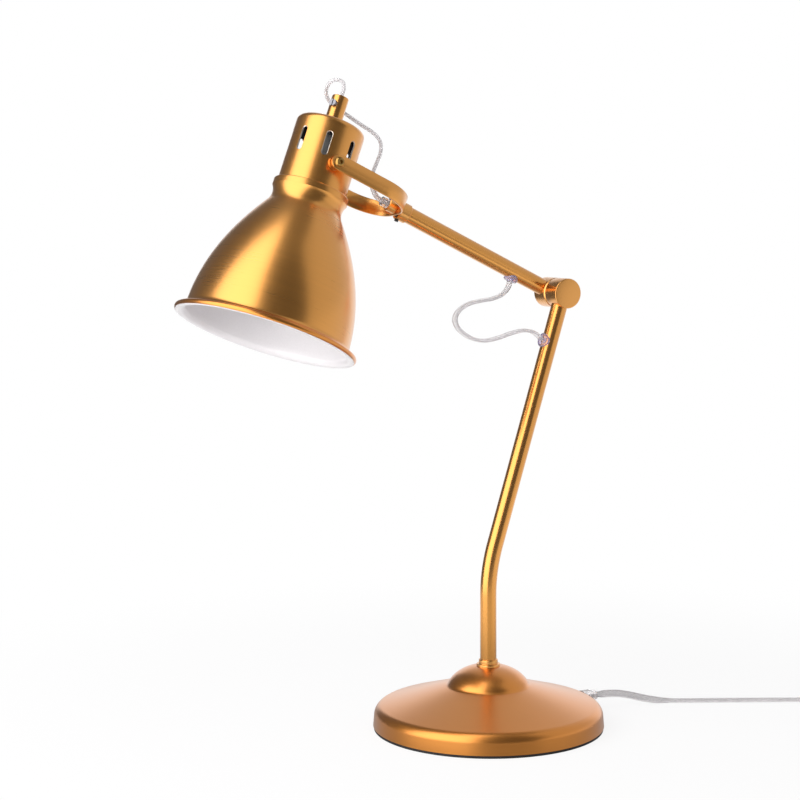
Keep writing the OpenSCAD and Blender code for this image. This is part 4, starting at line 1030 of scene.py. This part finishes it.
def tint_shade(shade, outside, inside):
    """White inside and another brass on the lip, told by the part of the outline that is nearest."""
    shade.data.materials.append(ENAMEL)
    shade.data.materials.append(LIP_BRASS)
    outline = np.array(outside + inside)
    middles = (outline + np.roll(outline, -1, axis=0)) / 2
    first_white = len(outside) - 1
    first_lip = len(outside) - LIP_POINTS
    into = ON_HEAD.inverted()
    for face in shade.data.polygons:
        c = into @ (face.center / MM)
        off = middles - np.array((math.hypot(c.x, c.y), c.z))
        nearest = np.argmin((off ** 2).sum(axis=1))
        face.material_index = 1 if nearest >= first_white else 2 if nearest >= first_lip else 0


def add_shade():
    """The shade: brass outside, white inside and under its lip."""
    bell = bell_line()
    outside, inside = shade_outside(bell), shade_inside(bell)
    shade = lathe("shade_finish", outside + inside, ON_HEAD, 192)
    dress(shade, SHADE_BRASS, "brushed_brass", "head", "shade")
    tint_shade(shade, outside, inside)


# ---- small pieces --------------------------------------------------------------------------

# Solids that show, each with its finish, its slot and the body it rides on.
SMALL_PIECES = [("post_grommet", GROMMET_SKIN, "tinted_grommet", "stand"),
                ("arm_grommet", GROMMET_SKIN, "tinted_grommet", "arm"),
                ("cord_gland", FLEX_SKIN, "clear_flex", "stand"),
                ("flex_sleeve", FLEX_SKIN, "clear_flex", "yoke"),
                ("pivot_spacers", YOKE_BRASS, "brushed_brass", "head"),
                ("pivot_screws", YELLOW_BRASS, "yellow_brass", "head"),
                ("swivel_bolt", JOINT_BRASS, "brushed_brass", "yoke"),
                ("swivel_washer", BLACK, "black_plastic", "yoke"),
                ("ferrule_screw", BLACK, "black_steel", "arm"),
                ("stem_screw", STEEL, "plated_steel", "head"),
                ("holder_body", WHITE_PLASTIC, "white_plastic", "head"),
                ("shade_clamp", WHITE_PLASTIC, "white_plastic", "head"),
                ("bulb_glass", OPAL, "bulb_glass", "head"),
                ("base_pad", PAD_RUBBER, "black_rubber", "stand")]
FINISH_OF_SLOT = {"plated_steel": STEEL, "clear_flex": FLEX_SKIN, "white_plastic": WHITE_PLASTIC,
                  "cast_iron": IRON, "fibre": BLACK, "black_plastic": BLACK, "yellow_brass": YELLOW_BRASS,
                  "brushed_brass": JOINT_BRASS, "black_steel": DARK_STEEL, "bulb_glass": OPAL,
                  "black_rubber": PAD_RUBBER, "tinted_grommet": GROMMET_SKIN}


def add_small_pieces():
    """Copies of the small solids, with round faces made smooth."""
    for node, material, slot, body in SMALL_PIECES:
        dress(smooth_copy(node), material, slot, body, node)


def finish_solids():
    """A finish for every solid, also the ones inside, by its slot."""
    for part in frame["record"]["subparts"]:
        materials = frame["nodes"][part["node"]].data.materials
        materials.clear()
        materials.append(FINISH_OF_SLOT[part["material_slot"]])


add_camera()
add_floor()
light_studio()
add_elbow_flex()
add_head_flex()
add_mains_flex()
add_base()
add_collar()
add_post()
add_elbow()
add_arm()
add_yoke()
add_cup()
add_stem()
add_shade()
add_small_pieces()
finish_solids()
bpy.context.scene.view_settings.view_transform = "Standard"
